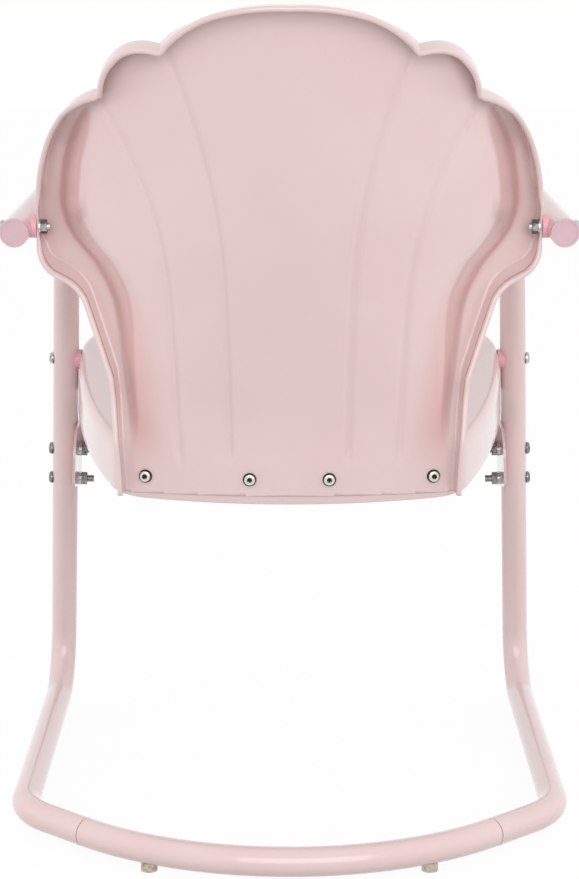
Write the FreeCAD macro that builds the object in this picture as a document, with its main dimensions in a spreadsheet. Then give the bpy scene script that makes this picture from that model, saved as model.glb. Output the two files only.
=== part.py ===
import FreeCAD, Part
import math
import os
from FreeCAD import Placement, Rotation, Vector

# A metal lawn chair that springs: a stamped shell back and seat pan, carried by two bent side
# tubes that flex at their lower front bends, and closed behind by a bowed cross tube.
# Frame: +Z up, the chair faces -Y, and the origin is on the floor in the middle of its outline.
# A depth is counted forwards from the axis of the bowed cross tube.

doc = FreeCAD.newDocument("lawn_chair")
sheet = doc.addObject("Spreadsheet::Sheet", "dims")

SIZES = {
    # Side tubes and cross tube
    "tube_od": 30,
    "tube_wall": 1.5,
    "glide_height": 7,
    "glide_saddle": 3,
    "base_half_width": 280,
    "cross_half_span": 208,
    "cross_bow_radius": 308,
    "rear_corner_radius": 80,
    "front_corner_depth": 607,
    "front_bend_radius": 60,
    "leg_rake": 11.5,
    "arm_front_half_width": 252,
    "arm_front_height": 659,
    "arm_front_radius": 100,
    "arm_rear_height": 624,
    "arm_rear_depth": 196,
    "arm_bolt_setback": 27,
    # Inner sleeves, glides and plugs
    "sleeve_wall": 2,
    "sleeve_reach": 75,
    "slip_clearance": 0.2,
    "glide_dia": 17,
    "rear_glide_half_span": 141,
    "front_glide_depth": 500,
    "plug_stem_length": 16,
    "plug_face": 2,
    "plug_rim": 2.2,
    "plug_dish": 0.8,
    # Seat pan
    "sheet_thickness": 1.2,
    "hem_thickness": 2.4,
    "hem_width": 5,
    "seat_tilt": 8.8,
    "seat_rear_depth": 163,
    "seat_rear_height": 399,
    "seat_length": 482,
    "seat_skirt": 54,
    "skirt_draft": 2.5,
    "seat_rear_radius": 600,
    "seat_side_radius": 864,
    "seat_front_radius": 700,
    "seat_rear_corner": 50,
    "seat_front_corner": 90,
    "seat_edge_radius": 8,
    "seat_bolt_height": 439.5,
    # Shell back
    "back_bottom_height": 355,
    "back_knee_height": 400,
    "back_knee_blend": 60,
    "back_lean": 16.8,
    "back_wing_radius": 310,
    "bow_tightens_over": 200,
    "rim_width_below": 13,
    "rim_width_above": 20,
    "rim_widens_from": 480,
    "rim_widens_over": 120,
    "wall_width_below": 10,
    "wall_width_above": 24,
    "wall_steepens_over": 60,
    "wall_fades_from": 690,
    "wall_fades_over": 80,
    "back_gap": 0.4,
    "flange_depth": 26,
    "flange_tilt": 20,
    "outline_foot_depth": 312.5,
    "wing_half_width": 260.5,
    # Leg brace
    "brace_plate": 3,
    "brace_bar_bottom": 324,
    "brace_bar_top": 362,
    "brace_bar_setback": 12,
    "brace_lug_bottom": 278,
    "brace_lug_rear": 85,
    "brace_lug_front": 22,
    "lug_front_radius": 3,
    "lug_rear_radius": 34,
    "lug_heel_radius": 8,
    "lug_toe_radius": 6,
    "lug_heel_rise": 20,
    "brace_upper_bolt": 327,
    "brace_lower_bolt": 290,
    # Fasteners
    "bolt_dia": 8,
    "bolt_clearance": 0.25,
    "head_dia": 14,
    "head_height": 4.4,
    "head_rounding": 3.2,
    "socket_flats": 5,
    "socket_depth": 2.6,
    "nut_flats": 13,
    "nut_height": 6.5,
    "thread_play": 0.05,
    "washer_dia": 16,
    "washer_thickness": 1.6,
    "spacer_dia": 23,
    "spacer_thickness": 3,
    "spacer_saddle": 6,
    "thread_reveal": 3,
    "long_reveal": 8,
    "seat_contact": 0.15,
    "back_bolt_height": 373,
    "back_bolt_inner": 41,
    "back_bolt_to_corner": 1.65,
    "screw_dia": 6,
    "screw_head_dia": 10,
    "screw_head_height": 3,
    "screw_recess": 1,
    "screw_reach": 4.8,
}

for row, (alias, value) in enumerate(SIZES.items(), start=1):
    sheet.set("A%d" % row, alias)
    sheet.set("B%d" % row, str(value))
    sheet.setAlias("B%d" % row, alias)
doc.recompute()


def dim(alias):
    return float(sheet.get(alias))


TUBE_R = dim("tube_od") / 2
AXIS_Z = dim("glide_height") + TUBE_R
SHEET_T = dim("sheet_thickness")
HOLE_R = dim("bolt_dia") / 2 + dim("bolt_clearance")
TILT = math.radians(dim("seat_tilt"))
# How far a cutting piece runs past what it cuts, and how near two levels are to be the same one
OVERRUN = 5
SAME = 0.01

# The seat's front edge is the foremost point, and the cross tube's back the rearmost.
DRAFT = math.tan(math.radians(dim("skirt_draft")))
FOREMOST = dim("seat_rear_depth") + dim("seat_skirt") * math.sin(TILT)
FOREMOST += (dim("seat_length") + dim("seat_skirt") * DRAFT) * math.cos(TILT)
REAR_Y = (FOREMOST + TUBE_R) / 2 - TUBE_R


def at(half_width, depth, height):
    return Vector(half_width, REAR_Y - depth, height)


def mirrored(point):
    return Vector(-point.x, point.y, point.z)


def smooth(share):
    share = max(0.0, min(1.0, share))
    return share * share * (3 - 2 * share)


# Helpers that make document objects

def bind(obj, links):
    for prop, expression in links.items():
        obj.setExpression(prop, expression)


def primitive(kind, name, links, placement=None):
    obj = doc.addObject(kind, name)
    bind(obj, links)
    if placement:
        obj.Placement = placement
    return obj


def fixed(name, shape, placement=None):
    obj = doc.addObject("Part::Feature", name)
    obj.Shape = shape
    if placement:
        obj.Placement = placement
    return obj


def cut(name, base, tool):
    obj = doc.addObject("Part::Cut", name)
    obj.Base = base
    obj.Tool = tool
    return obj


def join(name, pieces):
    obj = doc.addObject("Part::MultiFuse", name)
    obj.Shapes = pieces
    return obj


def group(name, pieces):
    obj = doc.addObject("Part::Compound", name)
    obj.Links = pieces
    return obj


def mirror(name, source):
    obj = doc.addObject("Part::Mirroring", name)
    obj.Source = source
    obj.Normal = Vector(1, 0, 0)
    return obj


def along(origin, direction):
    return Placement(origin, Rotation(Vector(0, 0, 1), direction))


def rod(name, radius, length, placement):
    return primitive("Part::Cylinder", name, {"Radius": radius, "Height": length}, placement)


NODES = {}


def node(name, obj):
    obj.Label = name
    NODES[name] = obj
    return obj


# Side tubes: rail, springing bend, leg and arm, on one line of straight runs and arcs

def rounded_path(points, radii):
    """Edges of straight runs joined by tangent arcs; each inner point has its own radius."""
    edges = []
    start = points[0]
    for before, corner, after, radius in zip(points, points[1:], points[2:], radii):
        back = (before - corner).normalize()
        ahead = (after - corner).normalize()
        half_turn = (math.pi - back.getAngle(ahead)) / 2
        reach = radius * math.tan(half_turn)
        inward = (back + ahead).normalize()
        middle = corner + inward * (radius / math.cos(half_turn) - radius)
        enter = corner + back * reach
        leave = corner + ahead * reach
        edges.append(Part.LineSegment(start, enter).toShape())
        edges.append(Part.Arc(enter, middle, leave).toShape())
        start = leave
    edges.append(Part.LineSegment(start, points[-1]).toShape())
    return edges


CROSS_ANGLE = math.asin(dim("cross_half_span") / dim("cross_bow_radius"))
CROSS_DROP = dim("cross_bow_radius") * (1 - math.cos(CROSS_ANGLE))
CORNER_DEPTH = CROSS_DROP + (dim("base_half_width") - dim("cross_half_span")) * math.tan(CROSS_ANGLE)
LEG_RISE = dim("arm_front_height") - AXIS_Z
ARM_FRONT_DEPTH = dim("front_corner_depth") - LEG_RISE * math.tan(math.radians(dim("leg_rake")))
ARM_BOLT_DEPTH = dim("arm_rear_depth") + dim("arm_bolt_setback")
ARM_BOLT_HALF = dim("wing_half_width") + dim("spacer_thickness") + TUBE_R
ARM_FLARE = (ARM_BOLT_HALF - dim("arm_front_half_width")) / (ARM_FRONT_DEPTH - ARM_BOLT_DEPTH)
ARM_FALL = (dim("arm_front_height") - dim("arm_rear_height")) / (ARM_FRONT_DEPTH - dim("arm_rear_depth"))

SEAM = at(dim("cross_half_span"), CROSS_DROP, AXIS_Z)
REAR_CORNER = at(dim("base_half_width"), CORNER_DEPTH, AXIS_Z)
FRONT_CORNER = at(dim("base_half_width"), dim("front_corner_depth"), AXIS_Z)
ARM_CORNER = at(dim("arm_front_half_width"), ARM_FRONT_DEPTH, dim("arm_front_height"))
ARM_END_HALF = ARM_BOLT_HALF + ARM_FLARE * dim("arm_bolt_setback")
ARM_END = at(ARM_END_HALF, dim("arm_rear_depth"), dim("arm_rear_height"))
ARM_DIRECTION = (ARM_END - ARM_CORNER).normalize()
ARM_BOLT = at(ARM_BOLT_HALF, ARM_BOLT_DEPTH, dim("arm_rear_height") + ARM_FALL * dim("arm_bolt_setback"))

LEG_DIRECTION = (ARM_CORNER - FRONT_CORNER).normalize()
LEG_OUTWARD = (Vector(1, 0, 0) - LEG_DIRECTION * LEG_DIRECTION.x).normalize()
LEG_UP = (Vector(0, 0, 1) - LEG_OUTWARD * LEG_OUTWARD.z).normalize()


def leg_axis(height):
    return FRONT_CORNER + LEG_DIRECTION * ((height - AXIS_Z) / LEG_DIRECTION.z)


side_edges = rounded_path(
    [SEAM, REAR_CORNER, FRONT_CORNER, ARM_CORNER, ARM_END],
    [dim("rear_corner_radius"), dim("front_bend_radius"), dim("arm_front_radius")],
)
print("side tube runs", [round(edge.Length, 1) for edge in side_edges])


def swept(name, edges, radius):
    """A round bar of the given radius along the edges, as a sweep of a circle."""
    spine = fixed(name + "_line", Part.Wire(edges))
    first = edges[0]
    start = first.valueAt(first.FirstParameter)
    heading = first.tangentAt(first.FirstParameter)
    ring = primitive("Part::Circle", name + "_ring", {"Radius": radius}, along(start, heading))
    sweep = doc.addObject("Part::Sweep", name)
    sweep.Sections = [ring]
    sweep.Spine = (spine, ["Edge%d" % (count + 1) for count in range(len(edges))])
    sweep.Solid = True
    return sweep


def tube(name, edges, outer="dims.tube_od / 2", inner="dims.tube_od / 2 - dims.tube_wall"):
    outside = swept(name + "_outside", edges, outer)
    inside = swept(name + "_inside", edges, inner)
    return cut(name + "_wall", outside, inside), outside


def bored(name, base, holes):
    """The base with round holes; each hole is an origin, a direction, a radius and a length."""
    for count, (origin, direction, radius, length) in enumerate(holes):
        drill = rod("%s_drill_%d" % (name, count), radius, length, along(origin, direction))
        base = cut("%s_bored_%d" % (name, count), base, drill)
    return base


BOLT_HOLE = "dims.bolt_dia / 2 + dims.bolt_clearance"
SCREW_HOLE = "dims.screw_dia / 2 + dims.bolt_clearance"
THROUGH_TUBE = "dims.tube_od + %g" % (2 * OVERRUN)
LOWER_WALL = "dims.glide_height + dims.tube_od / 2"

rail_wall, rail_outside = tube("rail", side_edges[0:3])
bend_wall = tube("bend", side_edges[3:4])[0]
leg_wall, leg_outside = tube("leg", side_edges[4:])

FRONT_GLIDE = at(dim("base_half_width"), dim("front_glide_depth"), 0)
rail = bored("rail", rail_wall, [(FRONT_GLIDE, Vector(0, 0, 1), SCREW_HOLE, LOWER_WALL)])

leg_holes = [(ARM_BOLT - Vector(TUBE_R + OVERRUN, 0, 0), Vector(1, 0, 0), BOLT_HOLE, THROUGH_TUBE)]
for height in (dim("seat_bolt_height"), dim("brace_upper_bolt"), dim("brace_lower_bolt")):
    start = leg_axis(height) - LEG_OUTWARD * (TUBE_R + OVERRUN)
    leg_holes.append((start, LEG_OUTWARD, BOLT_HOLE, THROUGH_TUBE))
leg = bored("leg", leg_wall, leg_holes)

node("left_base_rail", rail)
node("right_base_rail", mirror("rail_mirror", rail))
node("left_front_bend", bend_wall)
node("right_front_bend", mirror("bend_mirror", bend_wall))
node("left_leg_and_arm", leg)
node("right_leg_and_arm", mirror("leg_mirror", leg))


# Bowed cross tube, and the inner sleeves that join it to the side tubes

def bow_point(half_width):
    drop = dim("cross_bow_radius") - math.sqrt(dim("cross_bow_radius") ** 2 - half_width ** 2)
    return at(half_width, drop, AXIS_Z)


bow_edge = Part.Arc(SEAM, bow_point(0), mirrored(SEAM)).toShape()
cross_wall, cross_outside = tube("cross", [bow_edge])
REAR_GLIDE = bow_point(dim("rear_glide_half_span"))
REAR_GLIDE.z = 0
cross_holes = [
    (REAR_GLIDE, Vector(0, 0, 1), SCREW_HOLE, LOWER_WALL),
    (mirrored(REAR_GLIDE), Vector(0, 0, 1), SCREW_HOLE, LOWER_WALL),
]
node("rear_cross_tube", bored("cross", cross_wall, cross_holes))

SLEEVE_INNER_HALF = dim("cross_half_span") - dim("sleeve_reach")
SLEEVE_RUN = min(dim("sleeve_reach"), side_edges[0].Length) / 2
sleeve_bow = Part.Arc(
    bow_point(SLEEVE_INNER_HALF),
    bow_point((SLEEVE_INNER_HALF + dim("cross_half_span")) / 2),
    SEAM,
).toShape()
sleeve_end = SEAM + (REAR_CORNER - SEAM).normalize() * SLEEVE_RUN
sleeve_edges = [sleeve_bow, Part.LineSegment(SEAM, sleeve_end).toShape()]
SLEEVE_OUTER = "dims.tube_od / 2 - dims.tube_wall - dims.slip_clearance"
sleeve_wall = tube("sleeve", sleeve_edges, SLEEVE_OUTER, SLEEVE_OUTER + " - dims.sleeve_wall")[0]
sleeve = bored("sleeve", sleeve_wall, [(REAR_GLIDE, Vector(0, 0, 1), SCREW_HOLE, LOWER_WALL)])
node("left_joint_sleeve", sleeve)
node("right_joint_sleeve", mirror("sleeve_mirror", sleeve))


# Turned small parts, each a body of its own

def turned(name, placement, steps, socket=None, rounding=None):
    """A body of stacked cylinders: each step is a radius, a start and a length as expressions."""
    body = doc.addObject("PartDesign::Body", name)
    for count, (kind, radius, start, length) in enumerate(steps):
        step = doc.addObject("PartDesign::" + kind, "%s_step_%d" % (name, count))
        body.addObject(step)
        bind(step, {"Radius": radius, "Height": length, "Placement.Base.z": start})
    doc.recompute()
    if rounding:
        radius, edge_height, edge_radius = rounding
        fillet = doc.addObject("PartDesign::Fillet", name + "_round")
        body.addObject(fillet)
        rims = []
        for count, edge in enumerate(step.Shape.Edges, start=1):
            if edge.Curve.TypeId != "Part::GeomCircle":
                continue
            if abs(edge.Curve.Center.z - edge_height) < SAME and abs(edge.Curve.Radius - edge_radius) < SAME:
                rims.append("Edge%d" % count)
        fillet.Base = (step, rims)
        fillet.setExpression("Radius", radius)
        doc.recompute()
    if socket:
        kind, radius, start, length = socket
        hexagon = doc.addObject("PartDesign::" + kind, name + "_hexagon")
        body.addObject(hexagon)
        hexagon.Polygon = 6
        bind(hexagon, {"Circumradius": radius, "Height": length, "Placement.Base.z": start})
    body.Placement = placement
    doc.recompute()
    return body


def button_bolt(name, seat, direction, length):
    """A button-head bolt: its head stands outwards from the seat, its shank points the other way."""
    steps = [
        ("AdditiveCylinder", "dims.bolt_dia / 2", "-(%s)" % length, length),
        ("AdditiveCylinder", "dims.head_dia / 2", "0", "dims.head_height"),
    ]
    socket = (
        "SubtractivePrism",
        "dims.socket_flats / sqrt(3)",
        "dims.head_height - dims.socket_depth",
        "dims.socket_depth + %g" % OVERRUN,
    )
    rounding = ("dims.head_rounding", dim("head_height"), dim("head_dia") / 2)
    return turned(name, along(seat, direction), steps, socket, rounding)


def ring_body(name, seat, direction, outer, inner, length):
    """A round piece with a hole, standing on its seat along the direction."""
    steps = [
        ("AdditiveCylinder", outer, "0", length),
        ("SubtractiveCylinder", inner, "-%g" % OVERRUN, "%s + %g" % (length, 2 * OVERRUN)),
    ]
    return turned(name, along(seat, direction), steps)


def washer(name, seat, direction):
    return ring_body(name, seat, direction, "dims.washer_dia / 2", BOLT_HOLE, "dims.washer_thickness")


def nut(name, seat, direction):
    body = doc.addObject("PartDesign::Body", name)
    block = doc.addObject("PartDesign::AdditivePrism", name + "_block")
    body.addObject(block)
    block.Polygon = 6
    bind(block, {"Circumradius": "dims.nut_flats / sqrt(3)", "Height": "dims.nut_height"})
    bore = doc.addObject("PartDesign::SubtractiveCylinder", name + "_bore")
    body.addObject(bore)
    bind(bore, {
        "Radius": "dims.bolt_dia / 2 + dims.thread_play",
        "Height": "dims.nut_height + %g" % (2 * OVERRUN),
        "Placement.Base.z": "-%g" % OVERRUN,
    })
    body.Placement = along(seat, direction)
    doc.recompute()
    return body


def pair(name, piece):
    """The left piece and its mirror image, as two solids of one node."""
    return node(name, group(name + "_pair", [piece, mirror(name + "_mirror", piece)]))


def four(name, first, second):
    pieces = [first, mirror(name + "_first_mirror", first), second, mirror(name + "_second_mirror", second)]
    return node(name, group(name + "_set", pieces))


def saddle_spacer(name, seat, direction, tube_bar):
    """A plastic spacer with one flat face and one face hollowed to sit on the tube."""
    blank = ring_body(
        name + "_blank", seat, direction, "dims.spacer_dia / 2", BOLT_HOLE,
        "dims.spacer_thickness + dims.spacer_saddle",
    )
    return cut(name, blank, tube_bar)


# Plugs in the rear ends of the arms

PLUG_HOLLOW = "dims.tube_od / 2 - dims.plug_rim"
plug_steps = [
    ("AdditiveCylinder", SLEEVE_OUTER, "-dims.plug_stem_length", "dims.plug_stem_length"),
    ("AdditiveCylinder", "dims.tube_od / 2", "0", "dims.plug_face"),
    ("SubtractiveCylinder", PLUG_HOLLOW, "dims.plug_face - dims.plug_dish", "%g" % OVERRUN),
]
plug = turned("plug", along(ARM_END, ARM_DIRECTION), plug_steps)
node("left_arm_plug", plug)
node("right_arm_plug", mirror("plug_mirror", plug))


# Glides under the base, each with its screw

HEAD_HOLE = "dims.screw_head_dia / 2 + dims.bolt_clearance"


def glide(name, seat, tube_bar):
    steps = [
        ("AdditiveCylinder", "dims.glide_dia / 2", "0", "dims.glide_height + dims.glide_saddle"),
        ("SubtractiveCylinder", SCREW_HOLE, "0", "dims.glide_height + dims.tube_od"),
        ("SubtractiveCylinder", HEAD_HOLE, "0", "dims.screw_recess + dims.screw_head_height"),
    ]
    return cut(name, turned(name + "_blank", Placement(seat, Rotation()), steps), tube_bar)


def glide_screw(name, seat):
    head = "dims.screw_head_height - dims.slip_clearance"
    shank = "dims.glide_height + dims.tube_wall * 2 + dims.screw_reach"
    steps = [
        ("AdditiveCylinder", "dims.screw_head_dia / 2", "dims.screw_recess", head),
        ("AdditiveCylinder", "dims.screw_dia / 2", "dims.screw_recess", shank),
    ]
    return turned(name, Placement(seat, Rotation()), steps)


pair("rear_glides", glide("rear_glide", REAR_GLIDE, cross_outside))
pair("front_glides", glide("front_glide", FRONT_GLIDE, rail_outside))
pair("joint_screws", glide_screw("joint_screw", REAR_GLIDE))
pair("front_glide_screws", glide_screw("front_glide_screw", FRONT_GLIDE))


# Seat pan: a plan of arcs, a rounded upper edge and a flared skirt with a folded hem

SEAT_BOLT_AXIS = leg_axis(dim("seat_bolt_height"))
SKIRT_POINT = SEAT_BOLT_AXIS - LEG_OUTWARD * (TUBE_R + dim("spacer_thickness") + dim("seat_contact"))
SEAT_ORIGIN = at(0, dim("seat_rear_depth"), dim("seat_rear_height"))
SEAT_TURN = Rotation(Vector(1, 0, 0), -dim("seat_tilt"))
SEAT_PLACE = Placement(SEAT_ORIGIN, SEAT_TURN)
SKIRT_LOCAL = SEAT_PLACE.inverse().multVec(SKIRT_POINT)
SEAT_HALF = SKIRT_LOCAL.x + SKIRT_LOCAL.z * DRAFT
SEAT_WIDEST = SKIRT_LOCAL.y


def tangent_corner(first_centre, first_radius, second_centre, second_radius, radius):
    """Centre of an arc of the given radius inside two circles that it touches, on the +X side."""
    span = (second_centre - first_centre).Length
    to_first = first_radius - radius
    to_second = second_radius - radius
    share = (span ** 2 + to_first ** 2 - to_second ** 2) / (2 * span)
    rise = math.sqrt(to_first ** 2 - share ** 2)
    direction = (second_centre - first_centre) * (1 / span)
    across = Vector(-direction.y, direction.x, 0)
    options = [first_centre + direction * share + across * side * rise for side in (-1, 1)]
    return max(options, key=lambda centre: centre.x)


def on_circle(centre, radius, towards):
    return centre + (towards - centre).normalize() * radius


def beyond(centre, radius, inner_centre):
    return centre + (inner_centre - centre).normalize() * radius


rear_centre = Vector(0, -dim("seat_rear_radius"), 0)
side_centre = Vector(SEAT_HALF - dim("seat_side_radius"), SEAT_WIDEST, 0)
front_centre = Vector(0, dim("seat_front_radius") - dim("seat_length"), 0)


def seat_plan(inset):
    """The closed outline of the pan, seen from above in its own plane and drawn in by the inset."""
    rear_radius = dim("seat_rear_radius") - inset
    side_radius = dim("seat_side_radius") - inset
    front_radius = dim("seat_front_radius") - inset
    rear_corner = dim("seat_rear_corner") - inset
    front_corner = dim("seat_front_corner") - inset
    rear = tangent_corner(rear_centre, rear_radius, side_centre, side_radius, rear_corner)
    front = tangent_corner(front_centre, front_radius, side_centre, side_radius, front_corner)
    back_mid = Vector(0, -inset, 0)
    rear_in = beyond(rear_centre, rear_radius, rear)
    rear_out = beyond(side_centre, side_radius, rear)
    widest = Vector(SEAT_HALF - inset, SEAT_WIDEST, 0)
    front_in = beyond(side_centre, side_radius, front)
    front_out = beyond(front_centre, front_radius, front)
    front_mid = Vector(0, -dim("seat_length") + inset, 0)
    half = [
        Part.Arc(rear_in, on_circle(rear, rear_corner, (rear_in + rear_out) * 0.5), rear_out),
        Part.Arc(rear_out, on_circle(side_centre, side_radius, (rear_out + widest) * 0.5), widest),
        Part.Arc(widest, on_circle(side_centre, side_radius, (widest + front_in) * 0.5), front_in),
        Part.Arc(front_in, on_circle(front, front_corner, (front_in + front_out) * 0.5), front_out),
    ]
    right = [arc.toShape() for arc in half]
    left = [edge.mirror(Vector(0, 0, 0), Vector(1, 0, 0)) for edge in right]
    rear_edge = Part.Arc(mirrored(rear_in), back_mid, rear_in).toShape()
    front_edge = Part.Arc(front_out, front_mid, mirrored(front_out)).toShape()
    return Part.Wire(Part.__sortEdges__(right + left + [rear_edge, front_edge]))


def seat_block(name, inset, lower, depth, rounding):
    """A drafted block of the pan's plan, from the given level downwards, rounded above."""
    plan = fixed(name + "_plan", seat_plan(inset))
    block = doc.addObject("Part::Extrusion", name + "_block")
    block.Base = plan
    block.DirMode = "Custom"
    block.Dir = Vector(0, 0, -1)
    block.Solid = True
    block.setExpression("LengthFwd", depth)
    block.setExpression("TaperAngle", "dims.skirt_draft")
    block.Placement = Placement(Vector(0, 0, lower), Rotation())
    doc.recompute()
    rounded = doc.addObject("Part::Fillet", name)
    rounded.Base = block
    edges = []
    for count, edge in enumerate(block.Shape.Edges, start=1):
        if abs(edge.BoundBox.ZMax - lower) < SAME and abs(edge.BoundBox.ZMin - lower) < SAME:
            edges.append((count, rounding, rounding))
    rounded.Edges = edges
    doc.recompute()
    return rounded


EDGE_R = dim("seat_edge_radius")
PAST_SKIRT = "dims.seat_skirt + %g" % OVERRUN
pan_outside = seat_block("pan_outside", 0, 0, "dims.seat_skirt", EDGE_R)
pan_inside = seat_block("pan_inside", SHEET_T, -SHEET_T, PAST_SKIRT, EDGE_R - SHEET_T)
hem_inside = seat_block("hem_inside", dim("hem_thickness"), -SHEET_T, PAST_SKIRT, EDGE_R - SHEET_T)
hem_band = primitive(
    "Part::Box", "hem_band",
    {
        "Length": "2 * dims.seat_length",
        "Width": "2 * dims.seat_length",
        "Height": "dims.hem_width + %g" % (2 * OVERRUN),
        "Placement.Base.x": "-dims.seat_length",
        "Placement.Base.y": "-1.5 * dims.seat_length",
        "Placement.Base.z": "-dims.seat_skirt - %g" % (2 * OVERRUN),
    },
)
pan_hollow = cut("pan_hollow", pan_inside, hem_band)
hem_hollow = doc.addObject("Part::Common", "hem_hollow")
hem_hollow.Base = hem_inside
hem_hollow.Tool = hem_band
pan_core = join("pan_core", [pan_hollow, hem_hollow])
pan = cut("pan", pan_outside, pan_core)
pan.Placement = SEAT_PLACE


# Shell back: one pressed surface, trimmed by a scalloped outline and turned back at its rim

BACK_S0 = dim("seat_rear_depth")
SKIRT_ANGLE = dim("seat_tilt") - dim("skirt_draft")
SKIRT_LEAN = math.tan(math.radians(SKIRT_ANGLE))
SKIRT_TURN = Rotation(Vector(1, 0, 0), -SKIRT_ANGLE)
KNEE_BLEND = dim("back_knee_blend")
RIM_SLOPE = 0.35
WALL_STEEPNESS = 2.5
BOW_LIMIT = 0.9
# The shell's shape, as shares of the wing's half width and of the height of the arms' rear ends,
# because the wings are bolted to the arms. First the half width of the rim at some heights.
WING = dim("wing_half_width")
ARM_LEVEL = dim("arm_rear_height")
RIM_SHAPE = [
    (0.4808, 0.6526), (0.6154, 0.6833), (0.7051, 0.6929), (0.7949, 0.7217), (0.8862, 0.7697),
    (0.9455, 0.8484), (0.9936, 0.9463), (1.0337, 0.9827), (1.0577, 0.9866), (1.1298, 0.9597),
    (1.1779, 0.9098), (1.2260, 0.8061), (1.2821, 0.6910), (1.4904, 0.3839),
]
RIM_LINE = [(height * ARM_LEVEL, half_width * WING) for height, half_width in RIM_SHAPE]
BACK_LEVELS = [
    share * ARM_LEVEL
    for share in (0.5128, 0.6410, 0.7532, 0.8654, 0.9615, 1.0577, 1.1538, 1.2340, 1.3301, 1.4263)
]
RIM_OVERRUN = 30
PRISM_REACH = 700


def between(line, height):
    for (low, first), (high, second) in zip(line, line[1:]):
        if height <= high:
            return first + (second - first) * max(0, height - low) / (high - low)
    return line[-1][1]


def centre_depth(height):
    """Depth of the back on the middle line: along the seat's skirt below, leaning back above."""
    flat = SKIRT_LEAN
    lean = math.tan(math.radians(dim("back_lean")))
    start = BACK_S0 - dim("back_gap") - SHEET_T
    knee = dim("back_knee_height")
    if height <= knee:
        return start - flat * (height - dim("seat_rear_height"))
    rise = height - knee
    at_knee = start - flat * (knee - dim("seat_rear_height"))
    if rise < KNEE_BLEND:
        return at_knee - flat * rise - (lean - flat) * rise ** 2 / (2 * KNEE_BLEND)
    return at_knee - (flat + lean) * KNEE_BLEND / 2 - lean * (rise - KNEE_BLEND)


def bow(half_width, radius):
    """Forward rise of a bowed section of the given radius; straight on past nine tenths of it."""
    limit = BOW_LIMIT * radius
    if half_width <= limit:
        return radius - math.sqrt(radius ** 2 - half_width ** 2)
    edge = math.sqrt(radius ** 2 - limit ** 2)
    return radius - edge + (half_width - limit) * limit / edge


def section(height):
    """Bow radius, start of the side wall, start of the rim, wall steepness and share of the wall."""
    knee = dim("back_knee_height")
    bend = smooth((height - knee) / dim("bow_tightens_over"))
    flat_bow = 1 / (dim("seat_rear_radius") + dim("back_gap") + SHEET_T)
    radius = 1 / (flat_bow + (1 / dim("back_wing_radius") - flat_bow) * bend)
    widening = smooth((height - dim("rim_widens_from")) / dim("rim_widens_over"))
    rim_width = dim("rim_width_below") + (dim("rim_width_above") - dim("rim_width_below")) * widening
    rim = between(RIM_LINE, height) - rim_width
    wall = rim - dim("wall_width_below") - (dim("wall_width_above") - dim("wall_width_below")) * bend
    steep = WALL_STEEPNESS * smooth((height - knee) / dim("wall_steepens_over"))
    share = 1 - smooth((height - dim("wall_fades_from")) / dim("wall_fades_over"))
    return radius, wall, rim, steep, share


def back_depth(half_width, height):
    half_width = abs(half_width)
    radius, wall, rim, steep, share = section(height)
    plain = bow(half_width, radius)
    pressed = plain
    if half_width > wall:
        slope = wall / math.sqrt(radius ** 2 - wall ** 2)
        width = rim - wall
        step = min(1, (half_width - wall) / width)
        pressed = bow(wall, radius) + width * (
            slope * (step - step ** 2 / 2)
            + RIM_SLOPE * step ** 2 / 2
            + steep * (1 - math.cos(math.pi * step)) / math.pi
        )
        pressed += RIM_SLOPE * max(0, half_width - rim)
    return centre_depth(height) + plain * (1 - share) + pressed * share


def back_profile(height, shift):
    """Level line of the pressed surface, moved forwards by the shift: rims, side walls and field."""
    rim, wall = section(height)[2], section(height)[1]
    edge = between(RIM_LINE, height) + RIM_OVERRUN
    stations = (-edge, -rim, -wall, 0, wall, rim, edge)
    return [at(x, back_depth(x, height) + shift, height) for x in stations]


def slab(behind, ahead):
    """The space between two copies of the pressed surface, one behind it and one ahead of it."""
    wires = []
    for height in BACK_LEVELS:
        rear = back_profile(height, -behind)
        front = back_profile(height, ahead)
        edges = []
        for line in (rear, front[::-1]):
            edges.append(Part.LineSegment(line[0], line[1]).toShape())
            edges.append(Part.LineSegment(line[1], line[2]).toShape())
            edges.append(Part.Arc(line[2], line[3], line[4]).toShape())
            edges.append(Part.LineSegment(line[4], line[5]).toShape())
            edges.append(Part.LineSegment(line[5], line[6]).toShape())
        edges.insert(5, Part.LineSegment(rear[-1], front[-1]).toShape())
        edges.append(Part.LineSegment(front[0], rear[0]).toShape())
        wires.append(Part.Wire(edges))
    return Part.makeLoft(wires, True, True)


# The outline is drawn square to the flange, as half width and height in that slanted plane.
FLANGE_TURN = math.radians(dim("flange_tilt"))
FLANGE_WAY = Vector(0, math.cos(FLANGE_TURN), -math.sin(FLANGE_TURN))
PLANE_UP = Vector(0, math.sin(FLANGE_TURN), math.cos(FLANGE_TURN))
OUTLINE_FOOT = at(0, dim("outline_foot_depth"), 0)


def slanted(point):
    return OUTLINE_FOOT + Vector(point[0] * WING, 0, 0) + PLANE_UP * point[1] * ARM_LEVEL


def three_point(first, middle, last):
    return Part.Arc(slanted(first), slanted(middle), slanted(last)).toShape()


def straight(first, last):
    return Part.LineSegment(slanted(first), slanted(last)).toShape()


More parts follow.
